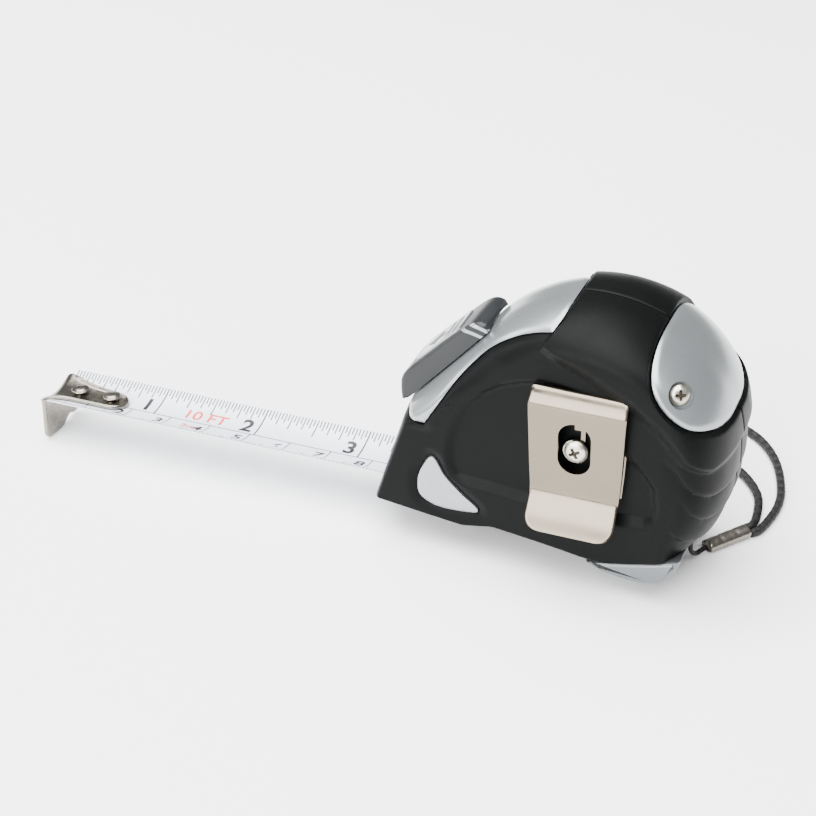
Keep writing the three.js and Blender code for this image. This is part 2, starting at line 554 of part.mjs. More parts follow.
add('rear_screw', panScrew(screwAt.x, screwAt.z, -12.9, 2.5, 1.6, 1.1, 8, 1.6), 0xcfcac2, 0.3, 1);
add('strap_cord', tube(thinRoute, THIN_R, 8, 8), 0x151515, 0.8, 0);
add('ferrule', ferruleBody(), 0xb8b8b8, 0.3, 1);
add('wrist_loop', tube(loopRoute, LOOP_R, 60, 8), 0x151515, 0.8, 0);

export default group;
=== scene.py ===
# Pocket tape measure: rubber-clad case with silver trims, slide lock, belt clip and wrist loop.
# Lengths in the constants and helpers are millimetres; meshes are made in metres by MM.
import math
import bpy
import bmesh
import numpy as np
from mathutils import Matrix, Vector


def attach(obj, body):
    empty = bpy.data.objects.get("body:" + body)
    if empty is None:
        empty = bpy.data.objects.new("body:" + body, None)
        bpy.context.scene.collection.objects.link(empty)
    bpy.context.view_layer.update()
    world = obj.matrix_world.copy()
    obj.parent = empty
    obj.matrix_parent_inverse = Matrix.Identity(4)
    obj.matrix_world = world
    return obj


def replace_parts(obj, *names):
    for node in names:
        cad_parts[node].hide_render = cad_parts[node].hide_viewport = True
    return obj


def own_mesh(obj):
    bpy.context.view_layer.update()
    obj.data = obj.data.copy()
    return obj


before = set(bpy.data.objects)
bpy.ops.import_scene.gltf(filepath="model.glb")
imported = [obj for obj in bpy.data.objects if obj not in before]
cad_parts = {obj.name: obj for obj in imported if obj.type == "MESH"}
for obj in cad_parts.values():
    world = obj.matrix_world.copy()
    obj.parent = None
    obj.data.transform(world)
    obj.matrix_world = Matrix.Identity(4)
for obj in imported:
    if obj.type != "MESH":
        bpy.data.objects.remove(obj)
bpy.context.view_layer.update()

MM = 0.001
GAP = 0.3
AXIS = np.array([-12.0, 32.0])
REEL = (-11.2, 33.8)
CASE_R, REAR_R = 29.4, 31.0
HALF_WIDTH, PLAN_TAPER, CREST_FLAT, SHOULDER = 16.3, 0.0043, 2.0, 8.5
GRIP_T, BAND_PROUD, SIDE_PROUD, RECESS = 2.0, 0.6, 1.5, 1.2
BLADE_W, BLADE_SAG, BLADE_T, BLADE_Z = 15.3, 2.1, 0.35, 9.8
HOOK_X, BLADE_END = -142.1, -22.0
CLIP_X, CLIP_W, CLIP_T, CLIP_TOP, CLIP_MID, CLIP_LOW = -10.6, 20.4, 0.7, 48.0, 23.7, 16.9
SCREW_AT = (8.9, 50.2)
RIVETS = (-136.1, -127.9)
BUTTON_HALF, LOCK_TRAVEL = 6.6, 2.6
OUTSIDE = 40        # a tool that reaches this far to a side passes right through the case
SAME = 1e-7         # metres: two places nearer than this are one

# ---------------------------------------------------------------- camera
def stand(name, data):
    """an object in the scene for a mesh, light, camera or curve"""
    thing = bpy.data.objects.new(name, data)
    bpy.context.collection.objects.link(thing)
    return thing


camera = stand("camera", bpy.data.cameras.new("camera"))
camera.location = (0.0816, -0.3442, 0.2509)
camera.rotation_euler = (math.radians(58.6), 0, math.radians(21.5))
camera.data.sensor_width, camera.data.lens = 36, 88.1
camera.data.clip_start, camera.data.clip_end = 0.01, 20
bpy.context.scene.camera = camera


# ---------------------------------------------------------------- small tools
def smooth(a, b, v):
    t = np.clip((np.asarray(v, float) - a) / (b - a), 0, 1)
    return t * t * (3 - 2 * t)


def polar(deg, r, about=AXIS):
    return np.array([about[0] + r * math.cos(math.radians(deg)),
                     about[1] + r * math.sin(math.radians(deg))])


def show(bm, name="tool", body=None, materials=(), sharp=35):
    mesh = bpy.data.meshes.new(name)
    bm.to_mesh(mesh)
    bm.free()
    piece = stand(name, mesh)
    for m in materials:
        mesh.materials.append(m)
    soften(mesh, sharp)
    if body:
        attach(piece, body)
    return piece


def final_mesh(thing):
    return bpy.data.meshes.new_from_object(
        thing.evaluated_get(bpy.context.evaluated_depsgraph_get()))


def soften(mesh, sharp):
    mesh.shade_smooth()
    mesh.set_sharp_from_angle(angle=math.radians(sharp))


def carve(piece, tools, operation="DIFFERENCE", sharp=35):
    """cuts, keeps or joins with closed solids, which are then thrown away"""
    for tool in tools:
        change = piece.modifiers.new("carve", "BOOLEAN")
        change.object, change.operation, change.solver = tool, operation, "MANIFOLD"
    mesh = final_mesh(piece)
    piece.modifiers.clear()
    mesh.materials.clear()
    mesh.polygons.foreach_set("material_index", [0] * len(mesh.polygons))
    piece.data = mesh
    for tool in tools:
        bpy.data.objects.remove(tool)
    soften(mesh, sharp)
    return piece


def thicken(bm, corners, away):
    """adds a flat face and pushes it away into a closed plate"""
    face = bm.faces.new([bm.verts.new(corner) for corner in corners])
    out = bmesh.ops.extrude_face_region(bm, geom=[face])["geom"]
    bmesh.ops.translate(bm, vec=away, verts=[g for g in out if isinstance(g, bmesh.types.BMVert)])


def plate(corners, away):
    """a closed plate, its corners and its thickness in millimetres"""
    bm = bmesh.new()
    thicken(bm, [(x * MM, y * MM, z * MM) for x, y, z in corners], [v * MM for v in away])
    bmesh.ops.recalc_face_normals(bm, faces=bm.faces)
    return bm


def round_off(bm, edges, offset, segments):
    bmesh.ops.bevel(bm, geom=edges, offset=offset, affect="EDGES", segments=segments, profile=0.5,
                    material=-1)


def level_edges(bm, axis):
    """edges that lie square to an axis: the rims of a plate along it"""
    return [e for e in bm.edges if abs(e.verts[0].co[axis] - e.verts[1].co[axis]) < SAME]


def dress(piece, material, body, node):
    """gives a carved piece its material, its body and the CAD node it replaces"""
    piece.data.materials.append(material)
    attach(piece, body)
    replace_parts(piece, node)


def bar(outline, y0, y1):
    """a closed bar along Y over a side-view outline"""
    return plate([(x, y0, z) for x, z in outline], (0, y1 - y0, 0))


def prism(outline, y0, y1):
    return show(bar(outline, y0, y1))


def block(x0, x1, y0, y1, z0, z1):
    return prism([(x0, z0), (x1, z0), (x1, z1), (x0, z1)], y0, y1)


def disc_prism(x, z, r, y0, y1, sides=48):
    return prism([polar(360 * i / sides, r, (x, z)) for i in range(sides)], y0, y1)


def spun(profile, place, name="tool", body=None, materials=(), sides=64, sharp=35):
    """a turned piece: profile of (radius, height), its axis placed by a matrix"""
    bm = bmesh.new()
    verts = [bm.verts.new((r * MM, 0, h * MM)) for r, h in profile]
    edges = [bm.edges.new(pair) for pair in zip(verts, verts[1:])]
    bmesh.ops.spin(bm, geom=verts + edges, axis=(0, 0, 1), cent=(0, 0, 0), steps=sides,
                   angle=2 * math.pi, use_merge=True)
    bmesh.ops.remove_doubles(bm, verts=bm.verts, dist=SAME)
    bmesh.ops.recalc_face_normals(bm, faces=bm.faces)
    bmesh.ops.transform(bm, matrix=place, verts=bm.verts)
    return show(bm, name, body, materials, sharp)


def bore(radius, low, high, place):
    """a round cutter on a placed axis"""
    return spun([(0, low), (radius, low), (radius, high), (0, high)], place)


def pulled(rings, closed, capped=True):
    """a skin made by pulling a row of points along equal rows of places"""
    bm = bmesh.new()
    row = [bm.verts.new(p) for p in rings[0]]
    n = len(row)
    edges = [bm.edges.new((row[i], row[(i + 1) % n])) for i in range(n if closed else n - 1)]
    if capped:
        bm.faces.new(row)
    for ring in rings[1:]:
        place = {vert: p for vert, p in zip(row, ring)}
        order = {vert: i for i, vert in enumerate(row)}
        out = bmesh.ops.extrude_edge_only(bm, edges=edges)["geom"]
        edges = [g for g in out if isinstance(g, bmesh.types.BMEdge)]
        fresh = [None] * n
        for vert in (g for g in out if isinstance(g, bmesh.types.BMVert)):
            old = next(e.other_vert(vert) for e in vert.link_edges if e.other_vert(vert) in order)
            fresh[order[old]] = vert
            vert.co = place[old]
        row = fresh
    if capped:
        bm.faces.new(row)
    bmesh.ops.recalc_face_normals(bm, faces=bm.faces)
    return bm


def unit(rows):
    return rows / np.linalg.norm(rows, axis=1)[:, None]


def full_turn(steps):
    return np.arange(steps) * 2 * math.pi / steps


def run_length(points):
    return np.concatenate([[0], np.cumsum(np.linalg.norm(np.diff(points, axis=0), axis=1))])


def flat_stroke(points, step):
    return stroke([(*p, 0) for p in points], step)[:, :2]


def stroke(points, step):
    """points spaced evenly along a smooth open curve through these places"""
    p = [Vector(q) for q in points]
    p = [2 * p[0] - p[1]] + p + [2 * p[-1] - p[-2]]
    fine = []
    for a, b, c, d in zip(p, p[1:], p[2:], p[3:]):
        t0 = 0
        t1 = t0 + max((b - a).length, 1e-9) ** 0.5
        t2 = t1 + (c - b).length ** 0.5
        t3 = t2 + max((d - c).length, 1e-9) ** 0.5
        for i in range(24):
            t = t1 + (t2 - t1) * i / 24
            a1 = a * ((t1 - t) / (t1 - t0)) + b * ((t - t0) / (t1 - t0))
            a2 = b * ((t2 - t) / (t2 - t1)) + c * ((t - t1) / (t2 - t1))
            a3 = c * ((t3 - t) / (t3 - t2)) + d * ((t - t2) / (t3 - t2))
            b1 = a1 * ((t2 - t) / (t2 - t0)) + a2 * ((t - t0) / (t2 - t0))
            b2 = a2 * ((t3 - t) / (t3 - t1)) + a3 * ((t - t1) / (t3 - t1))
            fine.append(b1 * ((t2 - t) / (t2 - t1)) + b2 * ((t - t1) / (t2 - t1)))
    fine.append(p[-2])
    q = np.array(fine)
    along = run_length(q)
    count = max(2, int(round(along[-1] / step)) + 1)
    at = np.linspace(0, along[-1], count)
    return np.stack([np.interp(at, along, q[:, k]) for k in range(3)], 1)


def apart(points, outline, closed=True):
    """distance in side view to an outline; negative inside a closed one"""
    p, o = np.asarray(points, float), np.asarray(outline, float)
    a = o if closed else o[:-1]
    b = np.roll(o, -1, 0) if closed else o[1:]
    best, inside = np.full(len(p), 1e9), np.zeros(len(p), bool)
    for (ax, az), (bx, bz) in zip(a, b):
        dx, dz = bx - ax, bz - az
        t = np.clip(((p[:, 0] - ax) * dx + (p[:, 1] - az) * dz) / max(dx * dx + dz * dz, 1e-12), 0, 1)
        best = np.minimum(best, np.hypot(p[:, 0] - ax - t * dx, p[:, 1] - az - t * dz))
        if closed and abs(dz) > 1e-12:
            cross = (az > p[:, 1]) != (bz > p[:, 1])
            inside ^= cross & (p[:, 0] < ax + (p[:, 1] - az) / dz * dx)
    return np.where(inside, -best, best)


# ---------------------------------------------------------------- outlines, seen from the side
NOSE_TIP, NOSE_TOP, NOSE_SHOULDER = (-58, 8.4), (-51.8, 29.2), (-51.2, 32)
BASE_DIP, BASE_STEP, BASE_REAR, BASE_LOW = (-37.5, 6.6), (-30.5, 8), (-9, 6), (8.8, 5)


def crown(deg):
    return (CASE_R + (REAR_R - CASE_R) * smooth(0, 1, (90 - deg) / 75)
            + 1.8 * smooth(0, 1, (5 - deg) / 40))


def case_line(spacing=0.55, soft=0.45):
    """the case outline as rows of x, z, how much its edge rounds, and its wall"""
    rows = []

    def run(a, b, round0, round1, wall0, wall1, steps=24):
        for i in range(steps):
            t = i / steps
            e = float(smooth(0, 1, t))
            rows.append((a[0] + (b[0] - a[0]) * t, a[1] + (b[1] - a[1]) * t,
                         round0 + (round1 - round0) * e, wall0 + (wall1 - wall0) * e))
    run(NOSE_TIP, NOSE_TOP, 0.3, 0.3, 1, 1)
    run(NOSE_TOP, NOSE_SHOULDER, 0.3, 0.6, 1, 1, 8)
    run(NOSE_SHOULDER, polar(136, CASE_R), 0.6, 1, 1, 1)
    for deg in range(136, -34, -1):
        rows.append((*polar(deg, crown(deg)), 1, 1))
    run(polar(-34, crown(-34)), BASE_LOW, 1, 0.5, 1, 0.5)
    run(BASE_LOW, BASE_REAR, 0.5, 0.3, 0.5, 0.5)
    run(BASE_REAR, BASE_STEP, 0.3, 0.3, 0.5, 0.5)
    run(BASE_STEP, BASE_DIP, 0.3, 0.3, 0.5, 0.5)
    run(BASE_DIP, NOSE_TIP, 0.3, 0.3, 0.5, 0.7)
    q = np.array(rows + rows[:1])
    along = run_length(q[:, :2])
    n = int(along[-1] / spacing)
    at = np.linspace(0, along[-1], n, endpoint=False)
    line = np.stack([np.interp(at, along, q[:, k]) for k in range(4)], 1)
    if soft:
        reach = int(3 * soft / spacing) + 1
        weight = np.exp(-0.5 * (np.arange(-reach, reach + 1) * spacing / soft) ** 2)
        weight /= weight.sum()
        line = sum(w * np.roll(line, k, 0) for k, w in zip(range(-reach, reach + 1), weight))
    return line


BAND_FRONT = [(-15.4, 70), (-15.6, 62.5), (-17, 59.5), (-19.4, 54.8)]
BAND_BELOW = [(-9.9, 51.3), (-1.5, 47.5), (5.6, 42.6), (11, 37), (16, 34.5), (21, 35.5)]
BAND = BAND_FRONT + BAND_BELOW + [(40, 42), (40, 70)]
CAP = [*flat_stroke([(3, 66), (2.6, 62), (2.3, 58), (3, 54), (4.5, 50.4), (7.2, 47.2), (11, 44.6),
                     (15, 42.8), (18, 41.4), (24, 40.4)], 0.8), (40, 48), (40, 70), (4, 76)]
SILVER_EDGE = [polar(104, 26.4), polar(112, 26.5), polar(122, 26.7), polar(132, 26.9),
               polar(140, 27.1), (-36.4, 45.1), (-38.2, 42.7), (-41.1, 38), (-43.3, 34.2), (-45, 31.2)]
SILVER = ([(-15.9, 70), (-16.1, 62.5), (-17.2, 59.6)]
          + [*flat_stroke(SILVER_EDGE, 0.8)]
          + [(-49, 31.3), (-64, 34), (-64, 70)])


def ring_through(points, step=0.6):
    line = flat_stroke(points[-2:] + points + points[:2], step)
    # keep one turn: from the first repeated place to the next
    start = int(np.argmin(np.hypot(*(line[:len(line) // 3] - points[0]).T)))
    tail = line[len(line) // 2:]
    stop = len(line) // 2 + int(np.argmin(np.hypot(*(tail - points[0]).T)))
    return line[start:stop]


TEARDROP = ring_through([(-43.2, 23.3), (-45.2, 20.6), (-46.4, 17), (-45.9, 13.2), (-42.4, 11.4),
                         (-37.5, 11.4), (-32.4, 12.6), (-36.4, 15.8), (-40.2, 19.2)])
POCKET = [tuple(polar(a, 23.3, (-16.8, 25))) for a in range(60, 196, 4)]
POCKET = [p for p in POCKET if p[1] > 18.6] + [(-38.6, 18.9), (-37, 18.2), (-30, 18.1), (-18, 17.6),
          (-4, 17.8), (4.4, 19.2), (6.4, 21), (7, 24), (6.2, 29.4), (2, 34.4), (-3.2, 37.4)]


def grown(outline, d):
    o = np.asarray(outline, float)
    area = np.sum(o[:, 0] * np.roll(o[:, 1], -1) - np.roll(o[:, 0], -1) * o[:, 1])
    along = unit(np.roll(o, -1, 0) - np.roll(o, 1, 0))
    s = d if area > 0 else -d
    return [(x + t[1] * s, z - t[0] * s) for (x, z), t in zip(o, along)]


# ---------------------------------------------------------------- the case's rounded body
SIDE_MIDDLE = np.array([-20.0, 25.0])


def case_rows(inside=0, side_inside=None, shoulder=SHOULDER, halves="both", relief=None,
              spacing=0.55, soft=0.45, turns=26, steps=46):
    """rings of the case body from the middle of the near side to the far one. relief gives, for
    places on the plain body, how far each is raised as the top band is (0..1) and moved outwards"""
    line = case_line(spacing, soft)
    x, z, rounding, wall = line.T
    half = HALF_WIDTH - (inside if side_inside is None else side_inside)
    crest = [0.15, 0.3, 0.55, 0.9, 1.4]
    rings = [("crest", c) for c in crest] + [("turn", math.pi / 2 * i / turns)
                                            for i in range(turns + 1)]
    rings += [("side", 1 - i / steps) for i in range(1, steps)]
    thick = inside * (wall if inside > 0 else 1)

    def places(kind, value, m):
        u = 0 if kind == "crest" else value if kind == "turn" else math.pi / 2
        h = half + SIDE_PROUD * m
        d = (shoulder - m) * rounding * (1 - math.cos(u)) + thick - BAND_PROUD * m
        r = np.hypot(x - AXIS[0], z - AXIS[1])
        px, pz = AXIS[0] + (x - AXIS[0]) * (1 - d / r), AXIS[1] + (z - AXIS[1]) * (1 - d / r)
        y = np.full_like(px, value) if kind == "crest" else CREST_FLAT + (h - CREST_FLAT) * math.sin(u)
        if kind == "side":
            px = SIDE_MIDDLE[0] + (px - SIDE_MIDDLE[0]) * value
            pz = SIDE_MIDDLE[1] + (pz - SIDE_MIDDLE[1]) * value
            y = h + np.zeros_like(px)
        return px, y * (1 + PLAN_TAPER * (px - AXIS[0])) if kind != "crest" else y, pz, u

    near = []
    for kind, value in rings:
        px, y, pz, u = places(kind, value, np.zeros_like(x))
        if relief:
            m, lift = relief(px, y, pz, kind)
            px, y, pz, u = places(kind, value, m)
            r = np.hypot(px - AXIS[0], pz - AXIS[1])
            px = px + lift * math.cos(u) * (px - AXIS[0]) / r
            pz = pz + lift * math.cos(u) * (pz - AXIS[1]) / r
            y = y + lift * math.sin(u)
        near.append(np.stack([px, -y, pz], 1) * MM)
    if halves == "near":
        return near
    return near[::-1] + [ring * (1, -1, 1) for ring in near]


def case_body(name, **how):
    return show(pulled(case_rows(**how), closed=True), name)


# ---------------------------------------------------------------- finishes
def linear(hexcode):
    return [((c / 255 + 0.055) / 1.055) ** 2.4 if c > 10 else c / 255 / 12.92
            for c in bytes.fromhex(hexcode)] + [1]


def add(tree, kind, inputs=(), **settings):
    """one node, with its settings, its values and its links"""
    node = tree.nodes.new(kind)
    for key, value in settings.items():
        setattr(node, key, value)
    for key, value in dict(inputs).items():
        if isinstance(value, bpy.types.NodeSocket):
            tree.links.new(value, node.inputs[key])
        else:
            node.inputs[key].default_value = value
    return node


def blank(name):
    material = bpy.data.materials.new(name)
    material.use_nodes = True
    material.node_tree.nodes.clear()
    return material, material.node_tree


def finish(name, shader, relief, colours, rough):
    """a material: relief is None or (cells per metre, stretch, depth in mm), colours are (two hex
    values, cells per metre) and rough is (least, most, cells per metre)"""
    material, tree = blank(name)
    values = dict(shader)
    where = add(tree, "ShaderNodeTexCoord").outputs["Object"]
    if relief:
        cells, stretch, depth = relief
        place = add(tree, "ShaderNodeMapping", {"Vector": where, "Scale": stretch}).outputs[0]
        height = add(tree, "ShaderNodeTexNoise",
                     {"Vector": place, "Scale": cells, "Detail": 3.0}).outputs[0]
        values["Normal"] = add(tree, "ShaderNodeBump", {"Height": height, "Strength": 0.6,
                               "Distance": depth * MM}).outputs[0]
    one, two, cells = colours
    patch = add(tree, "ShaderNodeTexNoise", {"Vector": where, "Scale": cells, "Detail": 4.0})
    values["Base Color"] = add(tree, "ShaderNodeMix", {"Factor": patch.outputs[0],
                               "A": linear(one), "B": linear(two)}, data_type="RGBA").outputs[2]
    least, most, cells = rough
    patch = add(tree, "ShaderNodeTexNoise", {"Vector": where, "Scale": cells, "Detail": 5.0})
    values["Roughness"] = add(tree, "ShaderNodeMapRange", {"Value": patch.outputs[0],
                              "From Min": 0.3, "From Max": 0.7, "To Min": least,
                              "To Max": most}).outputs[0]
    shade = add(tree, "ShaderNodeBsdfPrincipled", values)
    add(tree, "ShaderNodeOutputMaterial", {"Surface": shade.outputs[0]})
    return material


EVEN = (1, 1, 1)
# moulded TPE over the shells: satin black with a fine spark-eroded grain, 0.5 mm
RUBBER = finish("moulded_tpe", {"Specular IOR Level": 0.06}, (1 / 0.0005, EVEN, 0.03),
                ("040505", "070808", 1 / 0.012), (0.38, 0.48, 1 / 0.006))
# moulded ABS of the lock button: harder and a little glossier than the skin
BUTTON_ABS = finish("moulded_abs_black", {"Specular IOR Level": 0.3}, (1 / 0.0004, EVEN, 0.03),
                    ("141617", "1b1d1f", 1 / 0.01), (0.34, 0.44, 1 / 0.005))
# ABS sprayed silver: fine flake, 0.3 mm here so that it shows, under a thin clear lacquer. The foot gets
# a darker copy of it: painted shade for the underside beneath the case
SILVER_PAINT, SILVER_SHADE = (
    finish(name, {"Metallic": 0.75, "Coat Weight": 0.35, "Coat Roughness": 0.12},
           (1 / 0.0003, EVEN, 0.006), (one, two, 1 / 0.0004), (0.26, 0.33, 1 / 0.01))
    for name, one, two in (("silver_sprayed_abs", "82878a", "94999b"),
                           ("silver_foot_painted_shade", "55595c", "64686a")))
# bright nickel on pressed steel: warm white, rolled lines 0.6 mm apart along the strip
NICKEL = finish("bright_nickel_plate", {"Metallic": 1.0}, (1 / 0.0006, (1, 1, 0.06), 0.004),
                ("6c6458", "787063", 1 / 0.02), (0.14, 0.22, 1 / 0.004))
# the hook's plating is duller and greyer, rubbed by use
HOOK_NICKEL = finish("satin_nickel_plate", {"Metallic": 1.0}, (1 / 0.0007, EVEN, 0.008),
                     ("77726a", "8f8a81", 1 / 0.004), (0.2, 0.34, 1 / 0.002))
# zinc-plated screws: pale, slightly yellow in the recesses
SCREW_STEEL = finish("zinc_plated_steel", {"Metallic": 1.0}, (1 / 0.0004, EVEN, 0.01),
                     ("b9b3a4", "d0ccc0", 1 / 0.002), (0.22, 0.4, 1 / 0.0015))
# the same zinc in the cross recess, darkened: painted shade inside the recess
RECESS_SHADE_STEEL = finish("zinc_painted_recess_shade", {"Metallic": 0.6}, (1 / 0.0004, EVEN, 0.01),
                      ("2b2822", "4a4438", 1 / 0.001), (0.5, 0.7, 1 / 0.001))
# stoved enamel on the blade: bluish white, slight orange peel 1 mm across
BLADE_WHITE = finish("stoved_white_enamel", {"IOR": 1.5, "Coat Weight": 0.4, "Coat Roughness": 0.15},
                     (1 / 0.001, EVEN, 0.006), ("d4dce8", "dfe5ee", 1 / 0.02),
                     (0.3, 0.38, 1 / 0.008))
# pad-printed inks on the blade, slightly uneven as thin ink is
INK_BLACK = finish("blade_ink_black", {"IOR": 1.5}, None, ("101216", "1c1f24", 1 / 0.0008),
                   (0.4, 0.5, 1 / 0.001))
INK_RED = finish("blade_ink_red", {"IOR": 1.5}, None, ("c8382c", "dc5346", 1 / 0.0008),
                 (0.4, 0.5, 1 / 0.001))
# blued spring steel of the mainspring: dark with oil stains
SPRING = finish("blued_spring_steel", {"Metallic": 1.0}, (1 / 0.0008, EVEN, 0.004),
                ("4d5666", "6b7280", 1 / 0.01), (0.22, 0.34, 1 / 0.004))
# natural acetal of the reel: cream, waxy
ACETAL = finish("natural_acetal", {"IOR": 1.48, "Subsurface Weight": 0.1},
                (1 / 0.0006, EVEN, 0.01), ("d2cdbf", "dedacd", 1 / 0.01),
                (0.35, 0.45, 1 / 0.005))
# ABS of the inner shells and post: unpainted black with faint flow marks
SHELL_ABS = finish("abs_inner_black", {"IOR": 1.53}, (1 / 0.0008, EVEN, 0.02),
                   ("202224", "2b2d30", 1 / 0.015), (0.42, 0.55, 1 / 0.006))
# crimped aluminium tube on the cord: bright, drawn lines along it
CRIMP = finish("drawn_aluminium", {"Metallic": 1.0}, (1 / 0.0006, (0.3, 0.3, 1), 0.01),
               ("77736b", "928e85", 1 / 0.003), (0.2, 0.34, 1 / 0.002))
# matt white sweep under the tape measure
PAPER = finish("matt_white_card", {"IOR": 1.4}, (1 / 0.004, EVEN, 0.01),
               ("f6f6f6", "fafafa", 1 / 0.3), (0.8, 0.9, 1 / 0.2))


def braid(name, one, two, thick, lay):
    """twisted polyester braid: strands cross at an angle, their pitch given in mm along the cord"""
    material, tree = blank(name)
    where = add(tree, "ShaderNodeUVMap", uv_map="along").outputs[0]
    left = add(tree, "ShaderNodeMapping", {"Vector": where, "Scale": (1 / lay, 3, 1)}).outputs[0]
    right = add(tree, "ShaderNodeMapping", {"Vector": where, "Scale": (1 / lay, -3, 1)}).outputs[0]
    bands = [add(tree, "ShaderNodeTexWave", {"Vector": v, "Scale": 0.314, "Distortion": 0.4},
                 bands_direction="DIAGONAL").outputs[1] for v in (left, right)]
    both = add(tree, "ShaderNodeMath", {0: bands[0], 1: bands[1]}, operation="MAXIMUM").outputs[0]
    colour = add(tree, "ShaderNodeMix", {"Factor": both, "A": linear(one), "B": linear(two)},
                 data_type="RGBA").outputs[2]
    bump = add(tree, "ShaderNodeBump", {"Height": both, "Strength": 0.8,
               "Distance": thick * 0.12 * MM}).outputs[0]
    shade = add(tree, "ShaderNodeBsdfPrincipled", {"Base Color": colour, "Normal": bump,
                "Roughness": 0.62, "Specular IOR Level": 0.3})
    add(tree, "ShaderNodeOutputMaterial", {"Surface": shade.outputs[0]})
    return material


BRAID = braid("braided_polyester", "020202", "121212", 2.0, 1.4)
THIN_BRAID = braid("twisted_polyester", "020202", "101010", 1.1, 0.8)

# ---------------------------------------------------------------- cords
LOOP_R, THIN_R, CORD_Z = 1.0, 0.55, 1.1
FERRULE_A, FERRULE_B, FERRULE_HALF, FERRULE_TALL = (12.6, 6.6), (19.2, 15.6), 1.8, 1.3
EXIT = (10.4, 0.0)
run = Vector((FERRULE_B[0] - FERRULE_A[0], FERRULE_B[1] - FERRULE_A[1])).normalized()


def strand(out, side):
    return (FERRULE_B[0] + run.x * out + run.y * side,
            FERRULE_B[1] + run.y * out - run.x * side, CORD_Z)


LOOP_ROUTE = ([strand(GAP, 1.05), strand(2.4, 1.15)]
              + [(x, y, CORD_Z) for x, y in (
                  (22.9, 22.4), (23.4, 28.2), (22.7, 34.3), (18.7, 46.1), (12.6, 54.3), (2, 60.2),
                  (-14, 63.4), (-30, 62.8), (-41, 58.8), (-46, 52), (-42, 45.6), (-30, 42.6),
                  (-14, 44), (-2, 44.6), (7, 42), (13.5, 37.3), (18.2, 30.4), (19.7, 24))]
              + [strand(2.6, -1.15), strand(GAP, -1.05)])
THIN_ROUTE = [(*EXIT, 7.9), (EXIT[0], EXIT[1] + 0.15, 5.2), (EXIT[0] + 0.1, EXIT[1] + 1.4, 2.8),
              (EXIT[0] + 0.7, EXIT[1] + 3.4, 1.3),
              (FERRULE_A[0] - run.x * GAP, FERRULE_A[1] - run.y * GAP, FERRULE_TALL)]


def braided_tube(name, route, radius, step, material, plaits=8, sides=16):
    """a round cord with a plaited surface, and a UV map that runs along it"""
    line = stroke(route, step)
    along = unit(np.gradient(line, axis=0))
    up = unit(np.cross(along, (0.3, 0.2, 1.0) if abs(along[0, 2]) < 0.7 else (1.0, 0, 0)))
    across = np.cross(along, up)
    angle = full_turn(sides)
    rings = []
    for i, (p, u, v) in enumerate(zip(line, up, across)):
        s = i * step / radius
        plait = np.maximum(np.cos(plaits / 2 * angle + s * 2.2), np.cos(plaits / 2 * angle - s * 2.2))
        r = radius * (0.93 + 0.07 * plait)
        rings.append((p + r[:, None] * (np.cos(angle)[:, None] * u + np.sin(angle)[:, None] * v)) * MM)
    bm = pulled(rings, closed=True)
    uv = bm.loops.layers.uv.new("along")
    bm.verts.index_update()
    for face in bm.faces:
        at = [vert.index for vert in face.verts]
        turned = [k % sides for k in at]
        seam = max(turned) - min(turned) > sides / 2
        for loop, k, j in zip(face.loops, at, turned):
            loop[uv].uv = ((k // sides) * step, (j + (sides if seam and j == 0 else 0)) / sides)
    return show(bm, name, "case", [material], sharp=60), line


wrist_loop, loop_line = braided_tube("wrist_cord", LOOP_ROUTE, LOOP_R, 0.35, BRAID)
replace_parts(wrist_loop, "wrist_loop")
thin_cord, _ = braided_tube("thin_cord", THIN_ROUTE, THIN_R, 0.25, THIN_BRAID, 6, 12)
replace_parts(thin_cord, "strap_cord")


def crimped_sleeve():
    """a flattened aluminium tube round the cord, pinched in two places, its mouth rolled in"""
    length = math.hypot(FERRULE_B[0] - FERRULE_A[0], FERRULE_B[1] - FERRULE_A[1])
    angle = full_turn(48)
    rings = []
    profile = [(0.35, 0.6), (0, 0.78), (0, 0.9), (0.12, 0.97), (0.35, 1)]
    profile += [(t, 1 - 0.05 * sum(math.exp(-((t - c * length) / 0.5) ** 2) for c in (0.3, 0.68)))
                for t in np.linspace(0.8, length - 0.8, 30)]
    profile += [(length - 0.35, 1), (length - 0.12, 0.97), (length, 0.9), (length, 0.78),
                (length - 0.35, 0.6)]
    for t, k in profile:
        x, y = FERRULE_A[0] + run.x * t, FERRULE_A[1] + run.y * t
        side = FERRULE_HALF * (0.5 + 0.5 * k) * np.sign(np.cos(angle)) * np.abs(np.cos(angle)) ** 0.8
        tall = FERRULE_TALL * k * np.sin(angle)
        rings.append(np.stack([x + run.y * side, y - run.x * side, FERRULE_TALL + tall], 1) * MM)
    return show(pulled(rings, closed=True), "crimp_sleeve", "case", [CRIMP], 40)


crimp = crimped_sleeve()
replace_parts(crimp, "ferrule")

# ---------------------------------------------------------------- case skin and silver trims
FINGER_RIBS = [[(7.4, 36.4), (13.4, 29.6), (17, 27.2), (21, 26.6), (40, 26.6)],
               [(11.4, 27.4), (13.4, 24.2), (16, 21.4), (20, 20.2), (40, 20.2)],
               [(9.6, 19.6), (12, 16.4), (15.4, 14.2), (18.6, 13.4), (40, 13.4)]]
CAP_EDGE = CAP[:-3]


def rounded(distance, reach, depth):
    """how far a surface falls away within reach of an edge"""
    return depth * (1 - np.clip(distance / reach, 0, 1)) ** 2


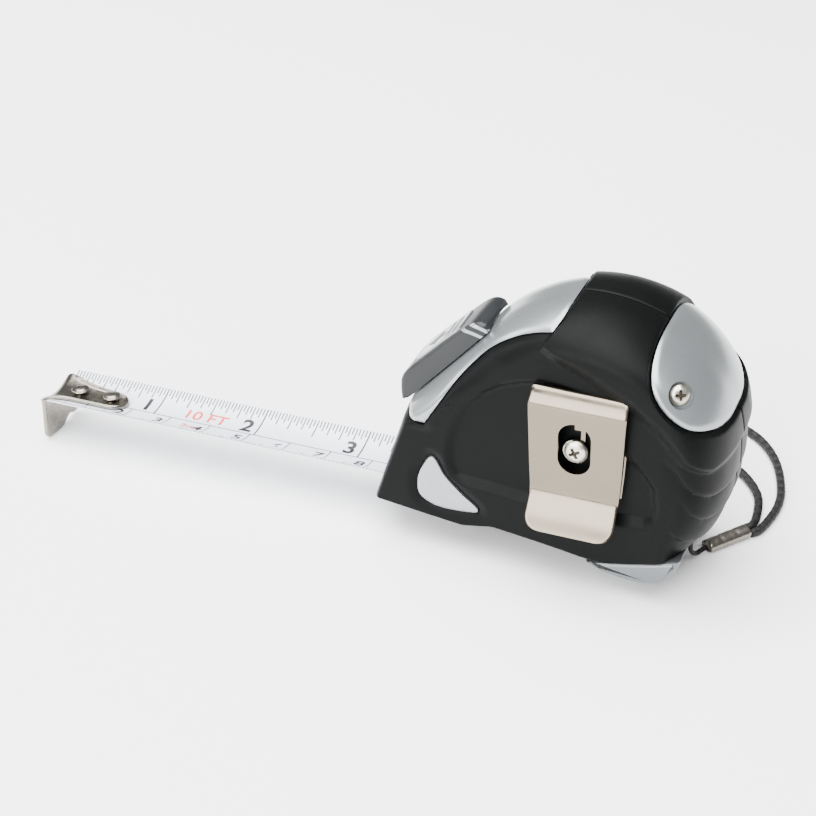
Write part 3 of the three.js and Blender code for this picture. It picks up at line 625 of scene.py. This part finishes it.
def skin_relief(x, y, z, kind):
    at = np.stack([x, z], 1)
    side = 1.0 if kind == "side" else 0.0
    in_band = apart(at, BAND)
    wall = 0.5 + 1.1 * smooth(58, 53, z)           # the band's edge slopes more below the shoulder
    raised = smooth(wall * 0.6, -wall * 0.6, in_band)
    lift = np.zeros_like(x)
    # the crease where the silver band meets the side: a thin lip, then a bevel down to the face
    from_silver = apart(at, SILVER)
    rim = smooth(2.9, 1.1, from_silver) * smooth(29, 32, z) * (1 - raised)
    lift += side * 0.5 * rim
    # the round pocket, its wall sloping in
    wide = 1.6 + 0.9 * smooth(23, 20, z)
    lift -= side * RECESS * np.clip(-apart(at, POCKET) / wide, 0, 1) * (1 - raised)
    # a shallow dish round the teardrop inset
    near_tear = apart(at, TEARDROP)
    lift -= side * 0.45 * smooth(2.6, 0.4, near_tear)
    # finger ribs: each steps in under its line and swells out again
    for line in FINGER_RIBS:
        away = apart(at, line, closed=False)
        level = np.interp(x, [p[0] for p in line], [p[1] for p in line])
        under = np.where(z < level, away, -away)
        fade = smooth(line[0][0] - 1.5, line[0][0] + 3, x) * (1 - raised)
        lift -= fade * 0.75 * np.where(under > 0, np.exp(-under / 2.4), np.exp(under / 0.35))
    # edges round off at the windows and at the middle joint
    for outline in (SILVER, CAP, TEARDROP):
        lift -= rounded(np.maximum(apart(at, outline) - GAP, 0), 0.8, 0.3)
    lift -= rounded(np.abs(np.abs(y) - 0.15), 0.6, 0.22)
    return raised, lift


def silver_relief(x, y, z, kind):
    at = np.stack([x, z], 1)
    return np.zeros_like(x), -rounded(np.maximum(-apart(at, SILVER), 0), 0.9, 0.35)


def cap_relief(x, y, z, kind):
    at = np.stack([x, z], 1)
    lift = -rounded(np.maximum(-apart(at, CAP_EDGE + [(40, 40), (40, 76)]), 0), 1.2, 0.45)
    return np.zeros_like(x), lift


def tear_relief(x, y, z, kind):
    at = np.stack([x, z], 1)
    depth = np.maximum(-apart(at, TEARDROP), 0)
    return np.zeros_like(x), -rounded(depth, 0.9, 0.3) - 0.1 + 0.12 * smooth(0, 3, depth)


def inner_body(inside):
    return case_body("tool", inside=inside, soft=0, spacing=1.0, turns=16, steps=12)


def mirrored(piece, name):
    mesh = piece.data.copy()
    twin = stand(name, mesh)
    bm = bmesh.new()
    bm.from_mesh(mesh)
    bmesh.ops.scale(bm, vec=(1, -1, 1), verts=bm.verts)
    bmesh.ops.reverse_faces(bm, faces=bm.faces)
    bm.to_mesh(mesh)
    bm.free()
    return twin


# where the skin ends over the foot's heel, and the line under the heel, from the rear to the front
HEEL = [(-8.6, 6.7), (-5.9, 7.7), (1.5, 9.7), (5.7, 10.9), (10.6, 12.5), (13.4, 13.9), (17, 14.4)]
UNDER_HEEL = [(12, 12.6), (11.3, 10), (9.6, 7.2), (7.4, 5.5), (4, 4.7), (0, 4.6), (-3.5, 5),
              (-6.4, 5.8), (-8.2, 6.6)]
HEEL_HALF, HEEL_EDGE = 15.7, 1.2
FOOT_LONG, FOOT_WIDE, FOOT_TALL = 8, 14, 5


def blade_path():
    return block(-70, -20, -8.9, 8.9, 9.2, 14.3)


# the skin's near half: outer surface less the space of the shells, with windows for the trims
left_skin = case_body("left_skin", halves="near", relief=skin_relief, spacing=0.45, soft=0.4,
                      turns=34, steps=64)
carve(left_skin, [inner_body(GRIP_T), prism(grown(SILVER, GAP), -OUTSIDE, OUTSIDE),
                  prism(grown(CAP, GAP), -OUTSIDE, OUTSIDE),
                  prism(grown(TEARDROP, GAP), -OUTSIDE, OUTSIDE),
                  block(-8.3, 8.3, -OUTSIDE, OUTSIDE, -5, 7.4), blade_path(),
                  prism(HEEL + [(24, 14.4), (24, -5), (-8.6, -5)], -OUTSIDE, OUTSIDE),
                  bore(1.3, 0, 14, Matrix.Translation((EXIT[0] * MM, 0, 0)))], sharp=40)
right_skin = mirrored(left_skin, "right_skin")
carve(left_skin, [disc_prism(*REEL, 1.7, -OUTSIDE, 0)], sharp=40)
dress(left_skin, RUBBER, "case", "left_grip")
dress(right_skin, RUBBER, "case", "right_grip")

lock_slot = block(-48.4, -36.9, -2.4, 2.4, 30, 60)
silver_band = case_body("silver_band", relief=silver_relief, spacing=0.5, turns=34, steps=40)
carve(silver_band, [prism(SILVER, -OUTSIDE, OUTSIDE)], "INTERSECT")
carve(silver_band, [inner_body(GRIP_T), lock_slot, blade_path()])
# the cap's screw leans half way towards the shoulder it is let into; the matrix turns +Z outwards
LEAN = math.radians(38)
radial = Vector((SCREW_AT[0] - AXIS[0], 0, SCREW_AT[1] - AXIS[1])).normalized()
outwards = radial * math.sin(LEAN) - Vector((0, math.cos(LEAN), 0))
CAP_SCREW = (Matrix.Translation((SCREW_AT[0] * MM, -14.5 * MM, SCREW_AT[1] * MM))
             @ Vector((0, 0, 1)).rotation_difference(outwards).to_matrix().to_4x4())
silver_cap = case_body("silver_cap", inside=-BAND_PROUD + 0.4, side_inside=-SIDE_PROUD + 0.6,
                       shoulder=SHOULDER - 0.6, relief=cap_relief, spacing=0.5, turns=34, steps=40)
carve(silver_cap, [prism(CAP, -OUTSIDE, OUTSIDE)], "INTERSECT")
carve(silver_cap, [inner_body(GRIP_T), bore(2.75, -1.5, 6, CAP_SCREW), bore(1.5, -9, 1, CAP_SCREW)])
left_tear = case_body("left_tear", halves="near", relief=tear_relief, spacing=0.5, steps=70)
carve(left_tear, [prism(TEARDROP, -OUTSIDE, -5)], "INTERSECT")
carve(left_tear, [inner_body(1.6)])
right_tear = mirrored(left_tear, "right_tear")


def foot_pad():
    """a pad that bulges down to a small flat, with a heel that wraps up both sides"""
    angle = full_turn(120)
    c, s = np.cos(angle), np.sin(angle)
    rings = []
    for z in [0, 0.05, 0.15, 0.3, 0.5, 0.8, 1.1, 1.5, 2, 2.6, 3.2, 4, FOOT_TALL]:
        q = (z + 0.25) / (FOOT_TALL + 0.25)
        rings.append(np.stack([FOOT_LONG * q ** 0.45 * np.sign(c) * np.abs(c) ** 0.9,
                               FOOT_WIDE * q ** 0.385 * np.sign(s) * np.abs(s) ** 0.7,
                               np.full_like(c, z)], 1) * MM)
    rings.append(rings[-1] + (0, 0, 2.1 * MM))
    pad = show(pulled(rings, closed=True), "foot_pad")
    bm = bar([*flat_stroke(UNDER_HEEL, 0.8)] + [(x, z - GAP) for x, z in HEEL[1:5]],
             -HEEL_HALF, HEEL_HALF)
    round_off(bm, level_edges(bm, 1), HEEL_EDGE * MM, 6)
    for vert in bm.verts:
        vert.co.y *= 1 + PLAN_TAPER * (vert.co.x / MM - AXIS[0])
    carve(pad, [show(bm)], "UNION")
    return carve(pad, [inner_body(GRIP_T)], sharp=14)


for piece, node in ((silver_band, "front_band"), (silver_cap, "rear_cap"),
                    (left_tear, "left_nose_inset"), (right_tear, "right_nose_inset")):
    dress(piece, SILVER_PAINT, "case", node)
# the foot takes the darker silver copy: painted shade under the case
dress(foot_pad(), SILVER_SHADE, "case", "foot")


# ---------------------------------------------------------------- blade and its print
def blade_top(y):
    return BLADE_Z + BLADE_T + BLADE_SAG * (y / (BLADE_W / 2)) ** 2


def blade_strip():
    """a hollow steel strip with rolled edges"""
    across = np.linspace(-1, 1, 33)
    thin = BLADE_T * (1 - 0.55 * np.clip((np.abs(across) - 0.93) / 0.07, 0, 1) ** 2)
    under = [(v * BLADE_W / 2, BLADE_Z + BLADE_SAG * v * v + (BLADE_T - t) / 2)
             for v, t in zip(across, thin)]
    over = [(y, z + t) for (y, z), t in zip(under, thin)]
    section = np.array(under + over[::-1])
    rings = [np.concatenate([np.full((len(section), 1), x), section], 1) * MM
             for x in np.linspace(HOOK_X + 1.5, BLADE_END, 60)]
    return show(pulled(rings, closed=True), "blade_strip", "tape", [BLADE_WHITE], 60)


INCH, PRINT_LIFT = 25.4, 0.025


def follow_blade(bm):
    """cuts flat print across so that it follows the hollow, then lays it on"""
    for y in np.arange(-7, 7.1, 0.7):
        bmesh.ops.bisect_plane(bm, geom=bm.verts[:] + bm.edges[:] + bm.faces[:],
                               plane_co=(0, y * MM, 0), plane_no=(0, 1, 0))
    for vert in bm.verts:
        vert.co.z = (blade_top(vert.co.y / MM) + PRINT_LIFT) * MM


def rule_marks():
    """inch marks down to 1/32 on the far half, millimetres on the near half, a line between"""
    bm = bmesh.new()

    def line(x0, x1, y0, y1):
        made = bmesh.ops.create_grid(bm, x_segments=1, y_segments=1, size=0.5)["verts"]
        bmesh.ops.scale(bm, vec=((x1 - x0) * MM, (y1 - y0) * MM, 1), verts=made)
        bmesh.ops.translate(bm, vec=((x0 + x1) / 2 * MM, (y0 + y1) / 2 * MM, 0), verts=made)
    start, last = HOOK_X + 0.1, BLADE_END - 0.5
    line(HOOK_X + 2, last, -1.14, -0.88)
    inch = {0: 8.4, 16: 4.6, 8: 3.9, 24: 3.9}
    k = 2
    while (x := start + k * INCH / 32) < last:
        step = k % 32
        long = inch.get(step, 3.2 if step % 4 == 0 else 2.4 if step % 2 == 0 else 1.7)
        wide = 0.17 if step == 0 else 0.14
        line(x - wide, x + wide, 7.35 - long, 7.35)
        k += 1
    k = 2
    while (x := start + k) < last:
        long = 6.35 if k % 10 == 0 else 2.3 if k % 5 == 0 else 1.3
        line(x - 0.12, x + 0.12, -7.4, -7.4 + long)
        k += 1
    follow_blade(bm)
    return show(bm, "rule_marks", "tape", [INK_BLACK])


def printed(text, x, y, size, slant, material, name, wide=1.0, weight=0.05):
    """generic figures, printed to be read with the hook on the left"""
    curve = bpy.data.curves.new(name, "FONT")
    curve.body, curve.size, curve.shear = text, size * MM, slant
    curve.offset = weight * MM
    curve.align_x = "CENTER"
    word = stand(name, curve)
    mesh = final_mesh(word)
    bpy.data.objects.remove(word)
    bm = bmesh.new()
    bm.from_mesh(mesh)
    bmesh.ops.scale(bm, vec=(wide, 1, 1), verts=bm.verts)
    bmesh.ops.translate(bm, vec=(x * MM, y * MM, 0), verts=bm.verts)
    follow_blade(bm)
    return show(bm, name, "tape", [material])


blade = blade_strip()
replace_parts(blade, "blade")
on_blade = [blade, rule_marks()]
for n in range(1, 5):
    on_blade.append(printed(str(n), HOOK_X + INCH * n - 2.7, -0.1, 5.6, 0, INK_BLACK,
                            f"inch_figure_{n}", 1.05, 0.17))
for n in range(2, 12):
    on_blade.append(printed(str(n), HOOK_X + 10 * n - 1.9, -5.2, 3.9, 0, INK_BLACK,
                            f"centimetre_figure_{n}", 1.25, 0.09))
on_blade.append(printed("10 FT", HOOK_X + 37.6, 0.1, 4.3, 0, INK_RED, "length_in_feet", 1.1, 0.07))
on_blade.append(printed("3m", HOOK_X + 35.8, -4.7, 3.0, 0, INK_RED, "length_in_metres", 1.1))
for piece in on_blade:
    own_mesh(piece)

# ---------------------------------------------------------------- end hook and rivets
TAB_T, TAB_L, TAB_ROUND, TAB_HALF, TAB_MID, BEND_DROP = 0.55, 18.7, 14.9, 3.55, -0.85, 1.1
PLATE_T = 0.9
# the tab's two edges: distance from the bend, then Y of the near and the far edge
HOOK_SPANS = [(-PLATE_T, -6.6, 6), (0, -6.6, 6), (1.2, -6, 5.7), (2.4, -5.2, 5.2), (4, -4.6, 4.7),
              (6, -4.4, 4), (8.4, -4.4, 3.5), (TAB_ROUND, TAB_MID - TAB_HALF, TAB_MID + TAB_HALF)]


def hook_tab():
    """the tab, its two long edges and round end rolled up into a bright rim"""
    dx = np.concatenate([np.linspace(-PLATE_T, TAB_ROUND, 50),
                         TAB_ROUND + (TAB_L - 0.05 - TAB_ROUND) * np.sin(np.linspace(0.06, 1, 24)
                                                                         * math.pi / 2)])
    table = np.array(HOOK_SPANS)
    y0, y1 = (np.interp(dx, table[:, 0], table[:, k]) for k in (1, 2))
    soft = np.exp(-0.5 * (np.arange(-8, 9) / 3) ** 2)
    soft /= soft.sum()
    y0, y1 = (np.convolve(np.pad(v, 8, "edge"), soft, "valid") for v in (y0, y1))
    end = np.sqrt(np.clip(1 - ((dx - TAB_ROUND) / (TAB_L - TAB_ROUND)) ** 2, 0, 1))
    past = dx > TAB_ROUND
    y0[past], y1[past] = TAB_MID - TAB_HALF * end[past], TAB_MID + TAB_HALF * end[past]
    across = np.sin(np.linspace(-1, 1, 41) * math.pi / 2)
    edge = np.concatenate([np.stack([dx, y0], 1), np.stack([dx, y1], 1)[::-1]])
    rings = []
    for d, a, b in zip(dx, y0, y1):
        y = (a + b) / 2 + (b - a) / 2 * across
        z = blade_top(y) + 0.25 - BEND_DROP * max(0, (1.2 - d) / 2.1) ** 1.6
        near = np.abs(apart(np.stack([np.full_like(y, d), y], 1), edge))
        roll = 0.42 * np.exp(-((near - 0.35) / 0.45) ** 2) * float(smooth(1.5, 4, d))
        fall = 0.18 * (1 - np.clip(near / 0.3, 0, 1)) ** 2
        x = np.full_like(y, HOOK_X + d)
        low = np.stack([x, y, z + 0.2 * fall], 1)
        high = np.stack([x, y, z + TAB_T + roll - fall], 1)
        rings.append(np.concatenate([low, high[::-1]]) * MM)
    return show(pulled(rings, closed=True), "end_hook_plate", sharp=50)


def hook_plate():
    """the down-turned plate, two rounded lobes with a dip between"""
    edge = [(6 - 12.4 * i / 8, 0) for i in range(9)]
    edge = [(y, blade_top(y) + 0.25 + TAB_T - BEND_DROP) for y, _ in edge]
    edge += [*flat_stroke([(-6.4, 8), (-6.4, 1.6), (-5.6, 0.6), (-3.4, 0.3), (1.2, 0.3), (2.9, 1.3),
                           (4, 1.7), (5.8, 1), (7.4, 1), (8.5, 1.9), (8.8, 3.4), (8, 7), (6.2, 9.4)],
                          0.3)]
    bm = plate([(HOOK_X, y, z) for y, z in edge], (-PLATE_T, 0, 0))
    round_off(bm, level_edges(bm, 0), 0.22 * MM, 3)
    return show(bm)


def rivet(x, name):
    top = blade_top(0) + 0.25 + TAB_T
    profile = [(0, 9.5), (1.85, 9.5), (1.9, 9.72), (1.1, 9.78), (1.1, top + 0.72), (1.95, top + 0.74),
               (2.1, top + 0.86), (2.08, top + 1.0), (1.95, top + 1.12), (1.75, top + 1.15),
               (1.6, top + 1.06), (1.5, top + 1.06), (1.2, top + 1.28), (0.7, top + 1.37),
               (0, top + 1.4)]
    return spun(profile, Matrix.Translation((x * MM, 0, 0)), name, "tape", [HOOK_NICKEL], 56, 50)


hook = hook_tab()
carve(hook, [hook_plate()], "UNION", 50)
carve(hook, [bore(1.5, 5, 16, Matrix.Translation((x * MM, 0, 0))) for x in RIVETS], sharp=50)
dress(hook, HOOK_NICKEL, "hook", "end_hook")
for x, node in zip(RIVETS, ("hook_rivet_outer", "hook_rivet_inner")):
    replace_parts(rivet(x, node.replace("hook_", "") + "_head"), node)

# ---------------------------------------------------------------- belt clip and screws
CLIP_FACE = -(HALF_WIDTH - RECESS)


def clip_strip():
    """a bent spring strip: inner leg, fold over the top, outer leg with a slot, flared lip"""
    inner = CLIP_FACE - GAP - 0.05
    leg = inner - CLIP_T / 2
    outer = leg - 3
    path = ([(leg, 24.5), (leg, 38), (leg, CLIP_TOP - 2)]
            + [tuple(polar(a, 0.8, (leg - 0.8, CLIP_TOP - 1.3))) for a in range(20, 141, 20)]
            + [(leg - 2.2, CLIP_TOP - 1.8), (outer, CLIP_TOP - 3.2), (outer - 0.15, CLIP_TOP - 4.4),
               (outer + 0.3, 36), (outer + 0.7, 29), (outer + 0.8, CLIP_MID + 1.2),
               (outer + 0.3, CLIP_MID - 0.5), (outer - 1.2, CLIP_LOW + 3.6), (outer - 3.9, CLIP_LOW)])
    line = flat_stroke(path, 0.12)
    slope = unit(np.gradient(line, axis=0))
    along = run_length(line)
    left = along[-1] - along
    half = CLIP_W / 2 - np.interp(line[:, 1], [CLIP_LOW, 23, 30, CLIP_TOP - 3, CLIP_TOP],
                                  [0.7, 0.9, 0.5, 0, 0.3])
    corner = 3.4
    half -= np.where(left < corner, corner * (1 - np.sqrt(np.clip(
        1 - ((corner - left) / corner) ** 2, 0, 1))), 0)
    # two pressed lines along the fold, where the strip was set
    dent = sum(0.32 * np.exp(-((line[:, 1] - z) / 0.16) ** 2) for z in (CLIP_TOP - 1.3, CLIP_TOP - 3.3))
    dent = np.where(along > along[np.argmax(line[:, 1])], dent, 0)
    across = np.linspace(-1, 1, 61)
    rings = []
    for (y, z), (ty, tz), w, dip in zip(line, slope, half, dent):
        x = CLIP_X + w * across
        ease = 0.12 * (1 - np.clip((1 - np.abs(across)) * w / 0.35, 0, 1)) ** 2
        t0, t1 = CLIP_T / 2 - ease, CLIP_T / 2 - ease - dip
        one = np.stack([x, y + tz * t0, z - ty * t0], 1)
        two = np.stack([x, y - tz * t1, z + ty * t1], 1)
        rings.append(np.concatenate([one, two[::-1]]) * MM)
    strip = show(pulled(rings, closed=True), "clip_strip", sharp=50)
    slot = [polar(a, 3.45, (CLIP_X - 0.25, z)) for start, z in ((0, 38.2), (180, 33.0))
            for a in range(start, start + 181, 6)]
    # the inner leg is cut away round the screw, apart from the tongue above it
    round_screw = prism([(-15.6, 28.4), (-5.4, 28.4), (-5.4, 43), (-9.4, 43), (-9.4, 34),
                         (-10.3, 34), (-10.3, 38.6), (-11.7, 38.6), (-11.7, 43.4), (-15.6, 42.6)],
                        inner - CLIP_T - 0.3, 0)
    carve(round_screw, [disc_prism(*REEL, 2.6, -OUTSIDE, 1)])
    return carve(strip, [prism(slot, -OUTSIDE, inner - CLIP_T - 0.6),
                         disc_prism(*REEL, 1.6, -OUTSIDE, 0), round_screw], sharp=50)


dress(clip_strip(), NICKEL, "case", "belt_clip")


def cross_head(name, place, radius, height, shank, deep, drive):
    """a pan head screw with a tapering cross recess; place puts the top of its head, facing +Z"""
    profile = [(0, 0), (radius * 0.35, -0.02), (radius * 0.6, -height * 0.12),
               (radius * 0.82, -height * 0.34), (radius * 0.95, -height * 0.6),
               (radius, -height * 0.8), (radius, -height), (shank, -height), (shank, -deep),
               (0, -deep)]
    head = spun(profile, place, name, sharp=40)
    wide = radius * 0.16
    arms = []
    for turned in (0, math.pi / 2):
        bm = bmesh.new()
        bmesh.ops.create_cube(bm, size=1)
        for vert in bm.verts:
            far = vert.co.z < 0
            vert.co.x *= 2 * (drive * 0.35 if far else drive)
            vert.co.y *= 2 * (wide * 0.6 if far else wide)
            vert.co.z = -0.85 if far else 0.6
        bmesh.ops.transform(bm, matrix=Matrix.Rotation(turned + 0.5, 4, "Z"), verts=bm.verts)
        bmesh.ops.scale(bm, vec=(MM, MM, MM), verts=bm.verts)
        bmesh.ops.transform(bm, matrix=place, verts=bm.verts)
        arms.append(show(bm))
    carve(head, arms, sharp=40)
    head.data.materials.append(SCREW_STEEL)
    head.data.materials.append(RECESS_SHADE_STEEL)
    # faces inside the cross recess take the second, darker zinc: painted shade
    inward = place.inverted()
    for face in head.data.polygons:
        spot = inward @ face.center / MM
        if math.hypot(spot.x, spot.y) < drive and -0.95 < spot.z < -0.16 * height:
            face.material_index = 1
    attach(head, "case")
    return head


HEAD_T = 1.2
CLIP_SCREW = (Matrix.Translation((REEL[0] * MM, (CLIP_FACE - CLIP_T - 2 * GAP - HEAD_T) * MM,
                                  REEL[1] * MM)) @ Matrix.Rotation(math.pi / 2, 4, "X"))
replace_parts(cross_head("clip_screw_head", CLIP_SCREW, 2.7, HEAD_T, 1.0, 11.4, 1.8), "clip_screw")
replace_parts(cross_head("cap_screw_head", CAP_SCREW, 2.3, 1.35, 1.1, 7.5, 1.6), "rear_screw")

# ---------------------------------------------------------------- lock button
SLOPE_TOP = [(-53, 31), (-53.25, 34), (-53, 36.6), (-51.4, 39), (-48.4, 42.1), (-44.6, 46),
             (-41, 49.5), (-39.1, 51.3), (-37.4, 52.6), (-35.8, 53.1), (-34.4, 52.8)]


def button_side():
    return ([*flat_stroke(SLOPE_TOP, 0.5)] + [polar(a, CASE_R - 1) for a in (138, 142, 146)]
            + [(-48, 33)])


def button_body():
    bm = bar(button_side(), -BUTTON_HALF, BUTTON_HALF)
    round_off(bm, level_edges(bm, 1), 1.0 * MM, 5)
    # its underside clears the case at both ends of its slide
    case_low, case_high = (case_body("tool", inside=-GAP, soft=0, turns=16, steps=12, spacing=0.8)
                           for _ in range(2))
    case_high.data.transform(Matrix.Translation(Vector((-1, 0, -1)).normalized() * LOCK_TRAVEL * MM))
    return carve(show(bm, "lock_button_shell"), [case_low, case_high], sharp=40)


def inlays():
    """curved silver strips let into both sides of the button, two on each"""
    for word, side in (("near", -1), ("far", 1)):
        for place, centre in (("upper", [(-41.2, 52.2), (-39.3, 52.4), (-37.2, 52.3), (-33.4, 51.3)]),
                              ("lower", [(-42.6, 50.3), (-40.7, 50.8), (-38.4, 50.7), (-34, 49.6)])):
            line = flat_stroke(centre, 0.3)
            outline = [tuple(p + (0, 0.38)) for p in line] + [tuple(p - (0, 0.38)) for p in line[::-1]]
            y0, y1 = sorted((side * (BUTTON_HALF - 0.9), side * (BUTTON_HALF + 0.5)))
            strip, slot = prism(outline, y0, y1), prism(outline, y0, y1)
            whole = button_body()
            carve(strip, [whole], "INTERSECT", 30)
            carve(button, [slot], sharp=30)
            strip.name = strip.data.name = f"{place}_inlay_{word}"
            strip.data.materials.append(SILVER_PAINT)
            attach(strip, "lock")


def on_slope(bm, lift):
    """lays a flat shape (x up the slope, y across) on the button's sloping top"""
    middle, up = Vector((-45.6, 0, 45.0)), Vector((1, 0, 1)).normalized()
    out = Vector((-1, 0, 1)).normalized()
    place = Matrix((up, Vector((0, 1, 0)), out)).transposed().to_4x4()
    place.translation = middle + out * lift
    bmesh.ops.transform(bm, matrix=place, verts=bm.verts)
    bmesh.ops.scale(bm, vec=(MM, MM, MM), verts=bm.verts)


MARK_T = 0.05
PLATE_LONG, PLATE_WIDE, PLATE_THICK = 13.6, 9.8, 0.5


def slope_plate():
    bm = bmesh.new()
    bmesh.ops.create_cube(bm, size=1)
    bmesh.ops.scale(bm, vec=(PLATE_LONG, PLATE_WIDE, PLATE_THICK), verts=bm.verts)
    posts = [e for e in bm.edges if abs(e.verts[0].co.z - e.verts[1].co.z) > 0.1]
    round_off(bm, posts, 1.4, 6)
    rims = [e for e in bm.edges if e.verts[0].co.z > 0.2 and e.verts[1].co.z > 0.2]
    round_off(bm, rims, 0.12, 2)
    on_slope(bm, 0.0)
    return show(bm, "slope_plate", "lock", [SILVER_PAINT])


def slope_mark():
    """a plain arrow that points the way the button slides to lock, with two bars behind it"""
    bm = bmesh.new()
    shapes = [[(-4.9, 0), (-1.4, 3.1), (-1.4, 1.1), (0.4, 1.1), (0.4, -1.1), (-1.4, -1.1), (-1.4, -3.1)],
              [(1.6, 3.0), (2.7, 3.0), (2.7, -3.0), (1.6, -3.0)],
              [(3.9, 3.0), (5.0, 3.0), (5.0, -3.0), (3.9, -3.0)]]
    for outline in shapes:
        thicken(bm, [(x, y, 0) for x, y in outline], (0, 0, MARK_T))
    bmesh.ops.recalc_face_normals(bm, faces=bm.faces)
    on_slope(bm, 0.24)
    return show(bm, "slope_mark", "lock", [INK_BLACK])


button = button_body()
inlays()
dress(button, BUTTON_ABS, "lock", "lock_button")
slope_plate()
slope_mark()

# ---------------------------------------------------------------- inside parts keep their shapes
INSIDE = {"left_shell": SHELL_ABS, "right_shell": SHELL_ABS, "reel_post": SHELL_ABS,
          "lock_tongue": SHELL_ABS, "reel_drum": ACETAL, "mainspring": SPRING,
          "blade_coil": BLADE_WHITE}
for node, material in INSIDE.items():
    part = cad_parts[node]
    part.data.materials.clear()
    part.data.materials.append(material)

# ---------------------------------------------------------------- floor and light
floor_bm = bmesh.new()
bmesh.ops.create_grid(floor_bm, x_segments=4, y_segments=4, size=3)
floor = show(floor_bm, "floor", None, [PAPER])


def softbox(name, place, towards, size, power):
    light = stand(name, bpy.data.lights.new(name, "AREA"))
    light.data.shape, light.data.size, light.data.size_y = "RECTANGLE", size[0], size[1]
    light.data.energy = power
    light.location = place
    light.rotation_euler = (Vector(towards) - Vector(place)).to_track_quat("-Z", "Y").to_euler()


softbox("overhead", (-0.15, -0.25, 1.25), (-0.08, -0.2, 0), (1.9, 1.3), 104)
softbox("front", (-0.42, -1.15, 0.5), (-0.03, 0, 0.02), (1.1, 0.8), 36)
softbox("left", (-0.9, -0.1, 0.5), (-0.03, 0, 0.03), (0.4, 0.5), 6)
world = bpy.data.worlds.new("studio")
bpy.context.scene.world = world
world.use_nodes = True
world.node_tree.nodes["Background"].inputs[0].default_value = (1, 1, 1, 1)
world.node_tree.nodes["Background"].inputs[1].default_value = 0.38
